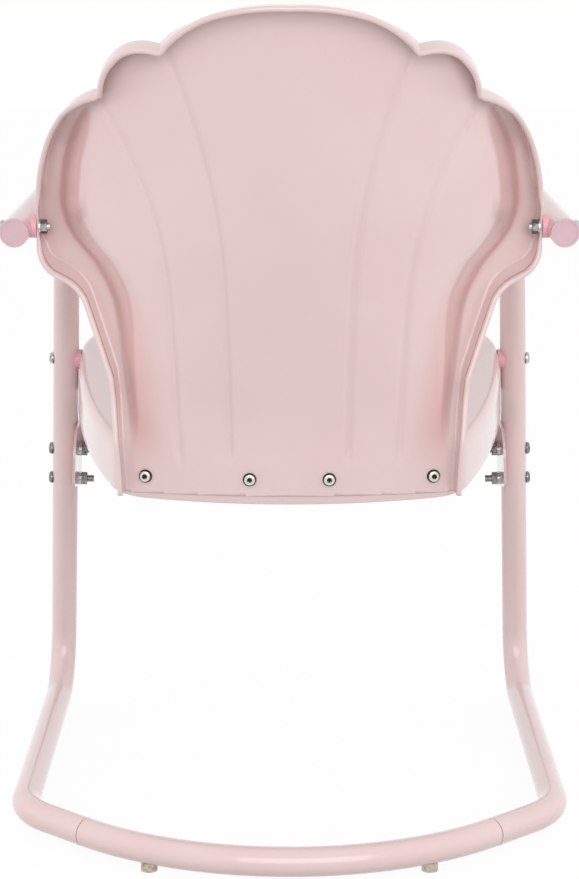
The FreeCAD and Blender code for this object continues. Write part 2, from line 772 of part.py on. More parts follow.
top = (0, 1.4551)
crest = (0.2841, 1.4359)
inner_notch = (0.4741, 1.3702)
lobe_shoulder = (0.6583, 1.3381)
outer_notch = (0.7159, 1.2756)
wing_shoulder = (0.8752, 1.2131)
wing_top = (1, 1.0417)
wing_low = (1, 0.9712)
wing_tuck = (0.9367, 0.9255)
wing_turn = (0.8868, 0.9191)
waist = (0.8177, 0.8958)
hip = (0.7140, 0.7853)
foot = (0.6795, 0.5288)
outline = [
    three_point(top, (0.1536, 1.4511), crest),
    three_point(crest, (0.3954, 1.4071), inner_notch),
    three_point(inner_notch, (0.5797, 1.3654), lobe_shoulder),
    three_point(lobe_shoulder, (0.7006, 1.3077), outer_notch),
    three_point(outer_notch, (0.8023, 1.2484), wing_shoulder),
    three_point(wing_shoulder, (0.9674, 1.1234), wing_top),
    straight(wing_top, wing_low),
    three_point(wing_low, (0.9827, 0.9407), wing_tuck),
    straight(wing_tuck, wing_turn),
    three_point(wing_turn, (0.8484, 0.9103), waist),
    three_point(waist, (0.7812, 0.8574), hip),
    three_point(hip, (0.6948, 0.7051), foot),
]
left_outline = [edge.mirror(Vector(0, 0, 0), Vector(1, 0, 0)) for edge in outline]
outline_wire = Part.Wire(Part.__sortEdges__(outline + left_outline + [straight((-foot[0], foot[1]), foot)]))


def outline_prism(inset):
    """The scalloped outline drawn in by the inset, as a long prism along the flange's way."""
    wire = outline_wire.copy()
    if inset:
        wire = wire.makeOffset2D(-inset)
    wire.translate(FLANGE_WAY * -PRISM_REACH)
    return Part.Face(wire).extrude(FLANGE_WAY * 2 * PRISM_REACH)


FLANGE_D = dim("flange_depth")
block = slab(FLANGE_D, SHEET_T).common(outline_prism(0))
hollow = slab(2 * FLANGE_D, 0).common(outline_prism(dim("hem_thickness")))
shell = block.cut(hollow)

# The lower edge is cut straight, a little above the hem of the seat's skirt.
BOTTOM = dim("back_bottom_height")
below = Part.makeBox(4 * WING, 4 * WING, BOTTOM, Vector(-2 * WING, -2 * WING, 0))
shell = shell.cut(below)

# Holes for the bolts that join the back to the seat, and for the arm bolts
rear_corner = tangent_corner(
    rear_centre, dim("seat_rear_radius"), side_centre, dim("seat_side_radius"), dim("seat_rear_corner"),
)
CORNER_START = beyond(rear_centre, dim("seat_rear_radius"), rear_corner).x
print("the seat's rear corners start at", round(CORNER_START, 2))
back_bolt_places = []
for half_width in (dim("back_bolt_inner"), CORNER_START - dim("back_bolt_to_corner")):
    height = dim("back_bolt_height")
    seat_point = at(half_width, back_depth(half_width, height), height)
    slope = half_width / dim("seat_rear_radius")
    way = SKIRT_TURN.multVec(Vector(math.sin(slope), math.cos(slope), 0))
    back_bolt_places.append((seat_point, way))

DRILL_LENGTH = 60
SHEET_DRILL = 20
drills = [Part.makeCylinder(HOLE_R, DRILL_LENGTH, ARM_BOLT - Vector(DRILL_LENGTH, 0, 0), Vector(1, 0, 0))]
for seat_point, way in back_bolt_places:
    drills.append(Part.makeCylinder(HOLE_R, DRILL_LENGTH, seat_point - way * DRILL_LENGTH / 2, way))
for drill in drills:
    shell = shell.cut(drill).cut(drill.mirror(Vector(0, 0, 0), Vector(1, 0, 0)))
solids = sorted(shell.Solids, key=lambda solid: solid.Volume)
print("back solids", [round(solid.Volume) for solid in solids])
node("back_shell", fixed("back", solids[-1]))


# Bolts, spacers, washers and nuts between the seat and the legs

def side_stack(prefix, axis, outward, grip, reveal, lift=0):
    """A bolt through a tube from outside, with its washer and nut on the tube's inner side."""
    head_seat = axis + outward * (TUBE_R + lift)
    inner_face = axis - outward * (TUBE_R + grip)
    length = 2 * TUBE_R + lift + grip + dim("washer_thickness") + dim("nut_height") + reveal
    inward = outward * -1
    bolt = button_bolt(prefix + "_bolt", head_seat, outward, "%.4f" % length)
    ring = washer(prefix + "_washer", inner_face, inward)
    hexagon = nut(prefix + "_nut", inner_face + inward * dim("washer_thickness"), inward)
    return bolt, ring, hexagon


def tube_spacer(prefix, axis, outward):
    """The spacer that sits on the leg's or arm's inner side at a bolt."""
    seat = axis - outward * (TUBE_R + dim("spacer_thickness"))
    return saddle_spacer(prefix + "_spacer", seat, outward, leg_outside)


seat_grip = dim("spacer_thickness") + SHEET_T + 2 * dim("seat_contact")
bolt, ring, hexagon = side_stack("seat", SEAT_BOLT_AXIS, LEG_OUTWARD, seat_grip, dim("thread_reveal"))
pair("seat_side_bolts", bolt)
pair("seat_side_spacers", tube_spacer("seat", SEAT_BOLT_AXIS, LEG_OUTWARD))
pair("seat_side_washers", ring)
pair("seat_side_nuts", hexagon)

arm_grip = dim("spacer_thickness") + dim("hem_thickness")
arm_lift = ARM_FLARE * dim("head_dia") / 2 + dim("seat_contact")
bolt, ring, hexagon = side_stack("arm", ARM_BOLT, Vector(1, 0, 0), arm_grip, dim("thread_reveal"), arm_lift)
pair("arm_bolts", bolt)
pair("arm_spacers", tube_spacer("arm", ARM_BOLT, Vector(1, 0, 0)))
pair("arm_washers", ring)
pair("wing_nuts", hexagon)


# Leg brace: a flat bar between two lugs that lie on the inner sides of the legs

LUG_ORIGIN = leg_axis(dim("brace_lower_bolt")) - LEG_OUTWARD * TUBE_R
LUG_REARWARD = LEG_UP.cross(LEG_OUTWARD)
LUG_TURN = Rotation(LEG_OUTWARD, LUG_REARWARD, LEG_UP, "XYZ")


def lug_place(height, rearward):
    """A point in the lug's own plane, from a height and a distance behind the leg's axis."""
    foot_point = leg_axis(height) - LEG_OUTWARD * TUBE_R - LUG_ORIGIN
    return Vector(0, foot_point.dot(LUG_REARWARD) + rearward, foot_point.dot(LEG_UP))


lug_rear = dim("brace_lug_rear")
lug_front = -dim("brace_lug_front")
lug_low_front = lug_place(dim("brace_lug_bottom"), lug_front)
lug_low_rear = lug_place(dim("brace_lug_bottom") + dim("lug_heel_rise"), lug_rear)
lug_top_rear = lug_place(dim("brace_bar_top"), lug_rear)
lug_top_rear.y = lug_low_rear.y
lug_top_front = lug_place(dim("brace_bar_top"), lug_front)
lug_start = (lug_low_front + lug_top_front) * 0.5
lug_outline = rounded_path(
    [lug_start, lug_top_front, lug_top_rear, lug_low_rear, lug_low_front, lug_start],
    [dim("lug_front_radius"), dim("lug_rear_radius"), dim("lug_heel_radius"), dim("lug_toe_radius")],
)
lug_plan = fixed("lug_plan", Part.Wire(lug_outline))
lug_blank = doc.addObject("Part::Extrusion", "lug_blank")
lug_blank.Base = lug_plan
lug_blank.DirMode = "Custom"
lug_blank.Dir = Vector(-1, 0, 0)
lug_blank.Solid = True
lug_blank.setExpression("LengthFwd", "dims.brace_plate")
lug_blank.Placement = Placement(LUG_ORIGIN, LUG_TURN)
brace_bolt_axes = [leg_axis(dim("brace_upper_bolt")), leg_axis(dim("brace_lower_bolt"))]
lug_holes = []
for axis in brace_bolt_axes:
    start = axis - LEG_OUTWARD * (TUBE_R + SHEET_DRILL / 2)
    lug_holes.append((start, LEG_OUTWARD, BOLT_HOLE, "%g" % SHEET_DRILL))
lug = bored("lug", lug_blank, lug_holes)

BAR_Y = leg_axis(dim("brace_bar_bottom")).y - dim("brace_bar_setback")
bar = primitive(
    "Part::Box", "brace_bar",
    {"Width": "dims.brace_plate", "Height": "dims.brace_bar_top - dims.brace_bar_bottom"},
)
bar.Length = 2 * (leg_axis(dim("brace_bar_top")).x - TUBE_R - dim("brace_plate") / 2)
bar.Placement = Placement(Vector(-bar.Length.Value / 2, BAR_Y, dim("brace_bar_bottom")), Rotation())
node("leg_brace", join("leg_brace_body", [bar, lug, mirror("lug_mirror", lug)]))

PLATE = dim("brace_plate")
upper = side_stack("brace_upper", brace_bolt_axes[0], LEG_OUTWARD, PLATE, dim("thread_reveal"))
lower = side_stack("brace_lower", brace_bolt_axes[1], LEG_OUTWARD, PLATE, dim("long_reveal"))
four("brace_bolts", upper[0], lower[0])
four("brace_washers", upper[1], lower[1])
four("brace_nuts", upper[2], lower[2])


# Bolts that join the back to the seat's rear skirt

back_grip = 2 * SHEET_T + dim("back_gap") + 3 * dim("seat_contact")
back_length = back_grip + dim("washer_thickness") + dim("nut_height") + dim("thread_reveal")
back_bolts = []
back_washers = []
back_nuts = []
pan_holes = [(SKIRT_POINT - LEG_OUTWARD * SHEET_DRILL / 2, LEG_OUTWARD, BOLT_HOLE, "%g" % SHEET_DRILL)]
for count, (seat_point, way) in enumerate(back_bolt_places):
    inward = way * -1
    inner_face = seat_point + inward * back_grip
    nut_face = inner_face + inward * dim("washer_thickness")
    back_bolts.append(button_bolt("back_bolt_%d" % count, seat_point, way, "%.4f" % back_length))
    back_washers.append(washer("back_washer_%d" % count, inner_face, inward))
    back_nuts.append(nut("back_nut_%d" % count, nut_face, inward))
    pan_holes.append((seat_point - way * SHEET_DRILL / 2, way, BOLT_HOLE, "%g" % SHEET_DRILL))
four("back_bolts", back_bolts[0], back_bolts[1])
four("back_washers", back_washers[0], back_washers[1])
four("back_nuts", back_nuts[0], back_nuts[1])

for origin, way, radius, length in list(pan_holes):
    pan_holes.append((mirrored(origin), mirrored(way), radius, length))
node("seat_pan", bored("pan", pan, pan_holes))


# Every object is checked before anything is written.

doc.recompute()
for obj in doc.Objects:
    if "Invalid" in obj.State or "Error" in obj.State:
        raise RuntimeError("failed object: " + obj.Name)

os.makedirs("parts", exist_ok=True)
for name, obj in NODES.items():
    shape = obj.Shape
    if shape.isNull() or not shape.isValid() or shape.Volume <= 0:
        raise RuntimeError("bad shape: " + name)
    shape.exportStep("parts/%s.step" % name)
    box = shape.optimalBoundingBox(False)
    print("%-20s %2d solids %10.0f mm3  X %.1f %.1f  Y %.1f %.1f  Z %.1f %.1f" % (
        name, len(shape.Solids), shape.Volume,
        box.XMin, box.XMax, box.YMin, box.YMax, box.ZMin, box.ZMax,
    ))
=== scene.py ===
# %% [markdown]
# A pink powder-coated lawn chair, seen from behind. Its back is one stamped steel sheet with a
# scalloped rim, bolted to a stamped seat pan. Both are carried by bent tubes that spring.
# The solid model is loaded first: it fixes every size and place, and nothing here moves it.

import math

import bmesh
import bpy
from mathutils import Matrix, Vector


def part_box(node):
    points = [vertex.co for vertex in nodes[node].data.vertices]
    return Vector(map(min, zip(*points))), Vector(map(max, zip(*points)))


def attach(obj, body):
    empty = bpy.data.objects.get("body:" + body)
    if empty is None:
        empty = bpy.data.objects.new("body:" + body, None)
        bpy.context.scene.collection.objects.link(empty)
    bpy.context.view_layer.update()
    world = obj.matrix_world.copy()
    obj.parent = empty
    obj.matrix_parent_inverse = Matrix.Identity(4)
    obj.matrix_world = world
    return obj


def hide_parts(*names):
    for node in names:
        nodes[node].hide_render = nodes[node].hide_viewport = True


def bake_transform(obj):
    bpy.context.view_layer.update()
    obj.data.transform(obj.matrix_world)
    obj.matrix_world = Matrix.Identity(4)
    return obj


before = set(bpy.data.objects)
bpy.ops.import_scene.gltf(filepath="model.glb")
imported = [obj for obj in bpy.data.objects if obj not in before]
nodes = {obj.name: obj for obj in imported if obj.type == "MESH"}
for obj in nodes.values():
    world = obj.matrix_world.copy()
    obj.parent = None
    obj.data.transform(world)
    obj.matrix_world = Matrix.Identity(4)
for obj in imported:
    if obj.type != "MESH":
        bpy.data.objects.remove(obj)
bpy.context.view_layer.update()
MM = 0.001

# %% [markdown]
# Shader maths reads best as plain arithmetic. A small class wraps a socket, so that an
# expression such as 1 - dust * 0.5 adds its own Math nodes. Every other node comes from one
# method, add, which takes the node's kind, its settings and what its sockets are fed.

# %% Shader maths and node helper
class Value:
    def __init__(self, shader, socket):
        self.shader = shader
        self.socket = socket

    def combine(self, operation, first, second=0):
        return self.shader.add("ShaderNodeMath", {"operation": operation}, {0: first, 1: second})

    def __abs__(self):
        return self.combine("ABSOLUTE", self)

    def __add__(self, other):
        return self.combine("ADD", self, other)

    __radd__ = __add__

    def __sub__(self, other):
        return self.combine("SUBTRACT", self, other)

    def __rsub__(self, other):
        return self.combine("SUBTRACT", other, self)

    def __mul__(self, other):
        return self.combine("MULTIPLY", self, other)

    __rmul__ = __mul__

    def __pow__(self, other):
        return self.combine("POWER", self, other)


class Shader:
    """A node tree whose nodes are added one call at a time."""

    def __init__(self, tree):
        self.tree = tree

    def feed(self, socket, value):
        if isinstance(value, Value):
            self.tree.links.new(value.socket, socket)
        else:
            socket.default_value = value

    def add(self, kind, settings=None, inputs=None, output=0):
        node = self.tree.nodes.new(kind)
        for key, value in (settings or {}).items():
            setattr(node, key, value)
        for key, value in (inputs or {}).items():
            self.feed(node.inputs[key], value)
        return None if output is None else Value(self, node.outputs[output])

    def shown(self):
        """1 where a ray comes from the camera, directly or by way of metal or glass."""
        rays = [
            self.add("ShaderNodeLightPath", output="Is %s Ray" % kind)
            for kind in ("Camera", "Glossy", "Transmission")
        ]
        return rays[0] + rays[1] + rays[2]


class Finish(Shader):
    """A material: its shader's own nodes, and the patterns that the finishes here share."""

    def __init__(self, name):
        self.material = bpy.data.materials.new(name)
        self.material.use_nodes = True
        super().__init__(self.material.node_tree)
        self.surface = self.tree.nodes["Principled BSDF"]
        print("material", name)

    def set(self, **inputs):
        for key, value in inputs.items():
            self.feed(self.surface.inputs[key.replace("_", " ")], value)

    def place(self):
        return self.add("ShaderNodeTexCoord", output="Object")

    def noise(self, size, detail=2.0, roughness=0.5):
        """Soft noise whose blotches are about the given size, in metres."""
        return self.add(
            "ShaderNodeTexNoise", None,
            {"Vector": self.place(), "Scale": 1 / size, "Detail": detail, "Roughness": roughness},
        )

    def ramp(self, value, low, high):
        return self.add("ShaderNodeMapRange", {"clamp": True}, {0: value, 1: low, 2: high})

    def mix(self, share, first, second):
        """Two colours mixed. A Mix node's colour sockets are the ones numbered 6 and 7."""
        return self.add(
            "ShaderNodeMix", {"data_type": "RGBA"}, {0: share, 6: first, 7: second}, output=2,
        )

    def bump(self, height, strength, distance):
        return self.add(
            "ShaderNodeBump", None, {"Height": height, "Strength": strength, "Distance": distance},
        )


def srgb(red, green, blue):
    """A colour as it is seen on a screen, 0 to 255, turned into the light it stands for."""
    linear = []
    for level in (red, green, blue):
        share = level / 255
        linear.append(share / 12.92 if share <= 0.04045 else ((share + 0.055) / 1.055) ** 2.4)
    return (*linear, 1)


# %% [markdown]
# The paint is a glossy powder coat. Powder melts into a film that is never quite flat, so its
# reflections waver: a fine ripple, called orange peel, goes into the bump, and a wider one
# follows it. The colour drifts a little where the film is thicker. In the folds of the back the
# colour is painted deeper and redder. That is painted shade, standing in for light that bounces
# between the walls; an attribute of that piece says where the folds are.
# Painted pictures could carry this, but noise needs no unwrapping and stays sharp from near.

# %% Powder coat
PEEL_SIZE = 0.0016
WAVE_SIZE = 0.035
DRIFT_SIZE = 0.12
DUST_SIZE = 0.006


def powder_coat(name, colour, deeper, folded):
    """The first two colours mix in soft blotches, and the third one is painted shade in the folds."""
    finish = Finish(name)
    fold_shade = finish.add("ShaderNodeAttribute", {"attribute_name": "fold_shade"}, output=2)
    drift = finish.ramp(finish.noise(DRIFT_SIZE), 0.35, 0.65)
    peel = finish.noise(PEEL_SIZE, 1.0)
    wave = finish.noise(WAVE_SIZE, 1.0)
    dust = finish.ramp(finish.noise(DUST_SIZE, 4.0, 0.7), 0.62, 0.8)
    open_colour = finish.mix(drift * 0.5 + dust * 0.15, colour, deeper)
    finish.set(
        Base_Color=finish.mix(fold_shade, open_colour, folded),
        Roughness=0.2 + drift * 0.04 + dust * 0.12,
        Coat_Weight=0.9 - dust * 0.3,
        Coat_Roughness=0.08,
        Coat_IOR=1.36,
        Specular_IOR_Level=0.35,
        Normal=finish.bump(peel * 0.12 + wave, 0.06, 0.0012),
    )
    return finish.material


PINK = srgb(227, 203, 201)
DEEP_PINK = srgb(223, 196, 194)
# The fold pink is painted shade, for light that bounces between the back's walls.
FOLD_SHADE_PINK = srgb(219, 177, 174)
paint = powder_coat("powder_coat_pink", PINK, DEEP_PINK, FOLD_SHADE_PINK)

# %% [markdown]
# The bolts are zinc-plated steel: bright, slightly blue, with a brushed grain and small stains
# where the plating has dulled. The glides are turned from nickel-coloured metal. Their colours
# differ but not the way they wear, so one recipe makes all of them.

# %% Plated steel and turned nickel
def plated(name, bright, dull, roughness):
    finish = Finish(name)
    stain = finish.ramp(finish.noise(0.004, 3.0, 0.6), 0.45, 0.7)
    grain = finish.noise(0.0004, 1.0)
    finish.set(
        Base_Color=finish.mix(stain, bright, dull),
        Metallic=1 - stain * 0.05,
        Roughness=roughness + stain * 0.18 + grain * 0.06,
        Normal=finish.bump(grain, 0.05, 0.0002),
    )
    return finish.material


steel = plated("zinc_plate", srgb(206, 206, 208), srgb(150, 150, 152), 0.2)
dull_and_shade_steel = plated("dull_and_shade_zinc_plate", srgb(150, 148, 146), srgb(92, 90, 88), 0.32)
nickel = plated("turned_nickel", srgb(202, 190, 172), srgb(150, 136, 118), 0.26)

# %% [markdown]
# The four bolts at the foot of the back are seen head on: a bright dome with a dark six-sided
# socket and a dark line where the head meets its washer. The solid heads have that shape, but
# they are too small for their own shadow to show. So a mask paints that shadow: it darkens the
# two places, and it measures how far a point lies from the nearest bolt's axis.

# %% Socket bolts
INNER_BOLT = 0.041
BOLT_HEAD_R = 0.0063
SOCKET_EDGE = (0.0024, 0.0030)
HEAD_EDGE = (0.0050, 0.0060)


def socket_bolts(name, bright, painted_shadow):
    finish = Finish(name)
    low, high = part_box("back_bolts")
    across, up = (
        finish.add("ShaderNodeSeparateXYZ", None, {"Vector": finish.place()}, output=axis)
        for axis in (0, 2)
    )
    inner = abs(abs(across) - INNER_BOLT)
    outer = abs(abs(across) - (high.x - BOLT_HEAD_R))
    aside = inner.combine("MINIMUM", inner, outer)
    rise = up - (low.z + high.z) / 2
    away = (aside * aside + rise * rise) ** 0.5
    socket = 1 - finish.ramp(away, *SOCKET_EDGE)
    edge = finish.ramp(away, *HEAD_EDGE)
    finish.set(
        Base_Color=finish.mix(socket.combine("MAXIMUM", socket, edge), bright, painted_shadow),
        Metallic=1.0,
        Roughness=0.22 + finish.noise(0.002) * 0.1,
    )
    return finish.material


# The dark colour is painted shadow, in the sockets and round the heads.
bolt_steel = socket_bolts("socket_bolt_steel", srgb(222, 220, 214), srgb(52, 46, 42))

# %% [markdown]
# The spacers and the plugs in the arm ends are moulded plastic of about the paint's colour.
# Plastic lets light in a little way, so it looks softer and pinker than the paint. On pieces
# this small a cloudy colour and a fine grain give that look, and no light has to be followed
# through the material.

# %% Moulded plastic
def moulded(name, colour, deeper, roughness):
    finish = Finish(name)
    cloud = finish.ramp(finish.noise(0.01), 0.3, 0.7)
    texture = finish.noise(0.0005, 1.0)
    finish.set(
        Base_Color=finish.mix(cloud * 0.6, colour, deeper),
        Roughness=roughness + cloud * 0.06,
        Normal=finish.bump(texture, 0.08, 0.0001),
        Specular_IOR_Level=0.45,
    )
    return finish.material


spacer_pink = moulded("spacer_plastic", srgb(240, 180, 192), srgb(236, 170, 184), 0.32)
plug_pink = moulded("plug_plastic", srgb(218, 186, 193), srgb(212, 178, 186), 0.38)

# %% [markdown]
# The solid model's small pieces keep their meshes. Those are loose triangles, so a Weld joins
# them for smooth shading, and an Edge Split keeps the sharp edges sharp. Nuts and wing nuts are
# duller than the bolts, as cheap zinc plate is. The sleeves inside the tube joints get the same
# dark colour as painted shade, so that the seams of the joints show as dark lines.

# %% Dress the small pieces of the solid model
WELD_REACH = 0.00001
SHARP_ANGLE = math.radians(32)


def dress(name, material):
    piece = nodes[name]
    piece.data.materials.clear()
    piece.data.materials.append(material)
    for polygon in piece.data.polygons:
        polygon.use_smooth = True
    weld = piece.modifiers.new("weld", "WELD")
    weld.merge_threshold = WELD_REACH
    split = piece.modifiers.new("sharp_edges", "EDGE_SPLIT")
    split.split_angle = SHARP_ANGLE


HIDDEN_STEEL = ("left_joint_sleeve", "right_joint_sleeve", "joint_screws", "front_glide_screws")
OPEN_STEEL = (
    "seat_side_bolts", "seat_side_washers", "seat_side_nuts", "arm_bolts", "arm_washers", "wing_nuts",
    "brace_bolts", "brace_washers", "brace_nuts", "back_washers", "back_nuts",
)
# The joint sleeves are in this list as painted shade: their dark colour darkens the seams.
DULL_AND_SHADE_STEEL = (
    "left_joint_sleeve", "right_joint_sleeve", "seat_side_nuts", "wing_nuts", "brace_nuts", "brace_bolts",
)
for name in HIDDEN_STEEL + OPEN_STEEL:
    dress(name, dull_and_shade_steel if name in DULL_AND_SHADE_STEEL else steel)
dress("back_bolts", bolt_steel)
for name in ("rear_glides", "front_glides"):
    dress(name, nickel)
for name in ("seat_side_spacers", "arm_spacers"):
    dress(name, spacer_pink)
for name in ("left_arm_plug", "right_arm_plug"):
    dress(name, plug_pink)
dress("leg_brace", paint)
print("dressed", len(HIDDEN_STEEL + OPEN_STEEL) + 8, "pieces of the solid model")

# %% [markdown]
# New pieces are bmesh work, because a bmesh can be drawn, spun and cut step by step before it
# becomes a mesh. One helper turns it into an object whose origin stays at the frame's origin.

# %% From bmesh to object
def make_object(name, mesh_work, material, smooth=True):
    mesh_work.normal_update()
    mesh = bpy.data.meshes.new(name)
    mesh_work.to_mesh(mesh)
    mesh_work.free()
    piece = bpy.data.objects.new(name, mesh)
    bpy.context.scene.collection.objects.link(piece)
    mesh.materials.append(material)
    for polygon in mesh.polygons:
        polygon.use_smooth = smooth
    print(name, len(mesh.polygons), "faces")
    return piece


# %% [markdown]
# Each side of the chair is a single length of tube: from the seam at the rear it runs along the
# floor, turns up through the springing bend, climbs as the leg and turns back as the arm. A
# bevelled curve could make it too, but a ring of points that is spun round a bend keeps an even
# step and a true radius. The line's place is measured on the solid model's cross tube.

# %% The line of a side tube
TUBE_R = 0.015
TUBE_WALL = 0.0015
RING_POINTS = 32
REAR_BEND_R, FRONT_BEND_R, ARM_BEND_R = 0.080, 0.060, 0.100
cross_low, cross_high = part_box("rear_cross_tube")
REAR_Y = cross_high.y - TUBE_R
AXIS_Z = cross_low.z + TUBE_R
print("cross tube axis at y", round(REAR_Y, 4), "z", round(AXIS_Z, 4))


def at(half_width, depth, height):
    """A point given as the solid model gives it: depth is counted forwards from the cross tube."""
    return Vector((half_width * MM, REAR_Y - depth * MM, height * MM))


# %% [markdown]
# These are the sizes that the bent line follows. They are the same real sizes that the solid
# model has, in millimetres.

# %% Corners of a side tube
RAIL_HALF = 280
SEAM_HALF = 208
BOW_R = 308
FRONT_DEPTH = 607
LEG_RAKE = math.radians(11.5)
ARM_HALF, ARM_HEIGHT = 252, 659
ARM_END_DEPTH, ARM_END_HEIGHT = 196, 624
ARM_BOLT_HALF, ARM_BOLT_SETBACK = 278.5, 27
floor_axis = AXIS_Z / MM

bow_drop = BOW_R - math.sqrt(BOW_R ** 2 - SEAM_HALF ** 2)
corner_depth = bow_drop + (RAIL_HALF - SEAM_HALF) * math.tan(math.asin(SEAM_HALF / BOW_R))
arm_depth = FRONT_DEPTH - (ARM_HEIGHT - floor_axis) * math.tan(LEG_RAKE)
arm_flare = (ARM_BOLT_HALF - ARM_HALF) / (arm_depth - ARM_END_DEPTH - ARM_BOLT_SETBACK)
side_line = [
    at(SEAM_HALF, bow_drop, floor_axis),
    at(RAIL_HALF, corner_depth, floor_axis),
    at(RAIL_HALF, FRONT_DEPTH, floor_axis),
    at(ARM_HALF, arm_depth, ARM_HEIGHT),
    at(ARM_BOLT_HALF + arm_flare * ARM_BOLT_SETBACK, ARM_END_DEPTH, ARM_END_HEIGHT),
]
side_bends = [REAR_BEND_R, FRONT_BEND_R, ARM_BEND_R]
print("side tube corners", [tuple(round(value, 3) for value in point) for point in side_line])

# %% [markdown]
# A tube is drawn as a pipe is made: a ring of edges is pulled along each straight run, and spun
# round each bend about the bend's own centre. Each run is cut into short steps, so that the
# part that springs later bends smoothly.

# %% Draw a ring of points along a bent line
BEND_STEP = math.radians(4)
RUN_STEP = 0.03


def start_ring(work, centre, heading, radius):
    turn = Vector((0, 0, 1)).rotation_difference(heading).to_matrix().to_4x4()
    bmesh.ops.create_circle(
        work, segments=RING_POINTS, radius=radius, matrix=Matrix.Translation(centre) @ turn,
    )
    return list(work.edges)


def pull(work, edges, way):
    """Draw the ring of edges out along a straight run."""
    made = bmesh.ops.extrude_edge_only(work, edges=edges)["geom"]
    points = [part for part in made if isinstance(part, bmesh.types.BMVert)]
    bmesh.ops.translate(work, verts=points, vec=way)
    return [part for part in made if isinstance(part, bmesh.types.BMEdge)]


def bend(work, edges, centre, axis, angle):
    """Spin the ring of edges round a bend."""
    steps = max(3, round(angle / BEND_STEP))
    points = list({point for edge in edges for point in edge.verts})
    made = bmesh.ops.spin(
        work, geom=points + edges, cent=centre, axis=axis, angle=angle, steps=steps, use_duplicate=False,
    )
    return [part for part in made["geom_last"] if isinstance(part, bmesh.types.BMEdge)]


def pull_run(work, ring, way):
    """Pull the ring along a whole straight run, step by step."""
    count = max(1, round(way.length / RUN_STEP))
    for step in range(count):
        ring = pull(work, ring, way / count)
    return ring


def close_up(work):
    bmesh.ops.remove_doubles(work, verts=work.verts, dist=WELD_REACH)
    bmesh.ops.recalc_face_normals(work, faces=work.faces)


def draw_tube(line, bends):
    work = bmesh.new()
    heading = (line[1] - line[0]).normalized()
    ring = start_ring(work, line[0], heading, TUBE_R)
    start = line[0]
    for before, corner, after, radius in zip(line, line[1:], line[2:], bends):
        arriving = (corner - before).normalized()
        leaving = (after - corner).normalized()
        angle = arriving.angle(leaving)
        reach = radius * math.tan(angle / 2)
        enter = corner - arriving * reach
        ring = pull_run(work, ring, enter - start)
        axis = arriving.cross(leaving).normalized()
        centre = enter + axis.cross(arriving) * radius
        ring = bend(work, ring, centre, axis, angle)
        start = corner + leaving * reach
    pull_run(work, ring, line[-1] - start)
    close_up(work)
    return work


# %% [markdown]
# A wall goes inwards from the drawn surface, so the outer size stays right. The tube's smooth
# shading would run round its cut ends, so an Edge Split stops it there.

# %% Give a surface its wall
TUBE_END_ANGLE = math.radians(50)


def give_wall(piece, wall):
    solid = piece.modifiers.new("sheet_wall", "SOLIDIFY")
    solid.thickness = wall
    solid.offset = -1
    solid.use_even_offset = True
    return piece


def give_tube_wall(piece):
    give_wall(piece, TUBE_WALL)
    split = piece.modifiers.new("sharp_ends", "EDGE_SPLIT")
    split.split_angle = TUBE_END_ANGLE
    return piece


# %% [markdown]
# The chair springs at the front bends. The runner stays on the floor and the leg moves with the
# sitter. A cut between them would open as the chair springs, so each side tube is drawn as one
# piece through the bend.


def side_tube(side):
    work = draw_tube(side_line, side_bends)
    if side == "right":
        bmesh.ops.scale(work, verts=work.verts, vec=(-1, 1, 1))
        bmesh.ops.reverse_faces(work, faces=work.faces)
    piece = give_tube_wall(make_object(side + "_side_tube", work, paint))
    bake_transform(piece)
    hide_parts(side + "_base_rail", side + "_front_bend", side + "_leg_and_arm")


side_tube("left")
side_tube("right")

# %% [markdown]
# The cross tube closes the base behind. It is one long bend, so a single spin makes it. Its ends
# stop short of the side tubes by a hair, which leaves the dark seam of a sleeved joint.

# %% Rear cross tube
SEAM_GAP = 0.0013


def cross_tube():
    work = bmesh.new()
    start = at(SEAM_HALF, bow_drop, floor_axis)
    centre = at(0, BOW_R, floor_axis)
    half_angle = math.asin(SEAM_HALF / BOW_R)
    gap_angle = SEAM_GAP / (BOW_R * MM)
    heading = Vector((-math.cos(half_angle), math.sin(half_angle), 0))
    ring = start_ring(work, start, heading, TUBE_R)
    bmesh.ops.rotate(work, verts=work.verts, cent=centre, matrix=Matrix.Rotation(gap_angle, 3, "Z"))
    bend(work, ring, centre, Vector((0, 0, 1)), 2 * (half_angle - gap_angle))
    close_up(work)
    piece = give_tube_wall(make_object("bowed_cross_tube", work, paint))
    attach(piece, "base")
    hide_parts("rear_cross_tube")


cross_tube()

# %% [markdown]
# The back is a sheet pressed to a shell. Its middle bows gently from side to side and leans
# back. Towards each side a steep wall steps forwards to a flat rim, four long beads stiffen the
# field, and the scalloped edge is turned rearwards as a flange with a folded hem.
# Sculpting would leave small waves that glossy paint shows at once. So a formula says how deep
# the pressing is at any half width and height, and a grid follows it.

# %% The pressed form of the back, in millimetres
SEAT_REAR_DEPTH = 163
SEAT_REAR_HEIGHT = 399
SHEET = 1.2
BACK_GAP = 0.4
SKIRT_LEAN = math.tan(math.radians(8.8 - 2.5))
BACK_LEAN = math.tan(math.radians(16.8))
KNEE_HEIGHT, KNEE_BLEND = 400, 60
SEAT_REAR_R, WING_R = 600, 310
BOW_LIMIT = 0.9
RIM_SLOPE = 0.35
RIM_LINE = [
    (300, 170), (384, 178), (440, 180.5), (496, 188), (553, 200.5), (590, 221), (620, 246.5),
    (645, 256), (660, 257), (705, 250), (735, 238), (765, 222), (800, 195), (930, 100),
]


def smooth(share):
    share = max(0.0, min(1.0, share))
    return share * share * (3 - 2 * share)


def ease(place, start, span):
    """0 up to the start, 1 once the span is past, and a smooth rise between."""
    return smooth((place - start) / span)


def slope_at(line, index):
    (low, first), (high, second) = line[max(0, index - 1)], line[min(len(line) - 1, index + 1)]
    return (second - first) / (high - low)


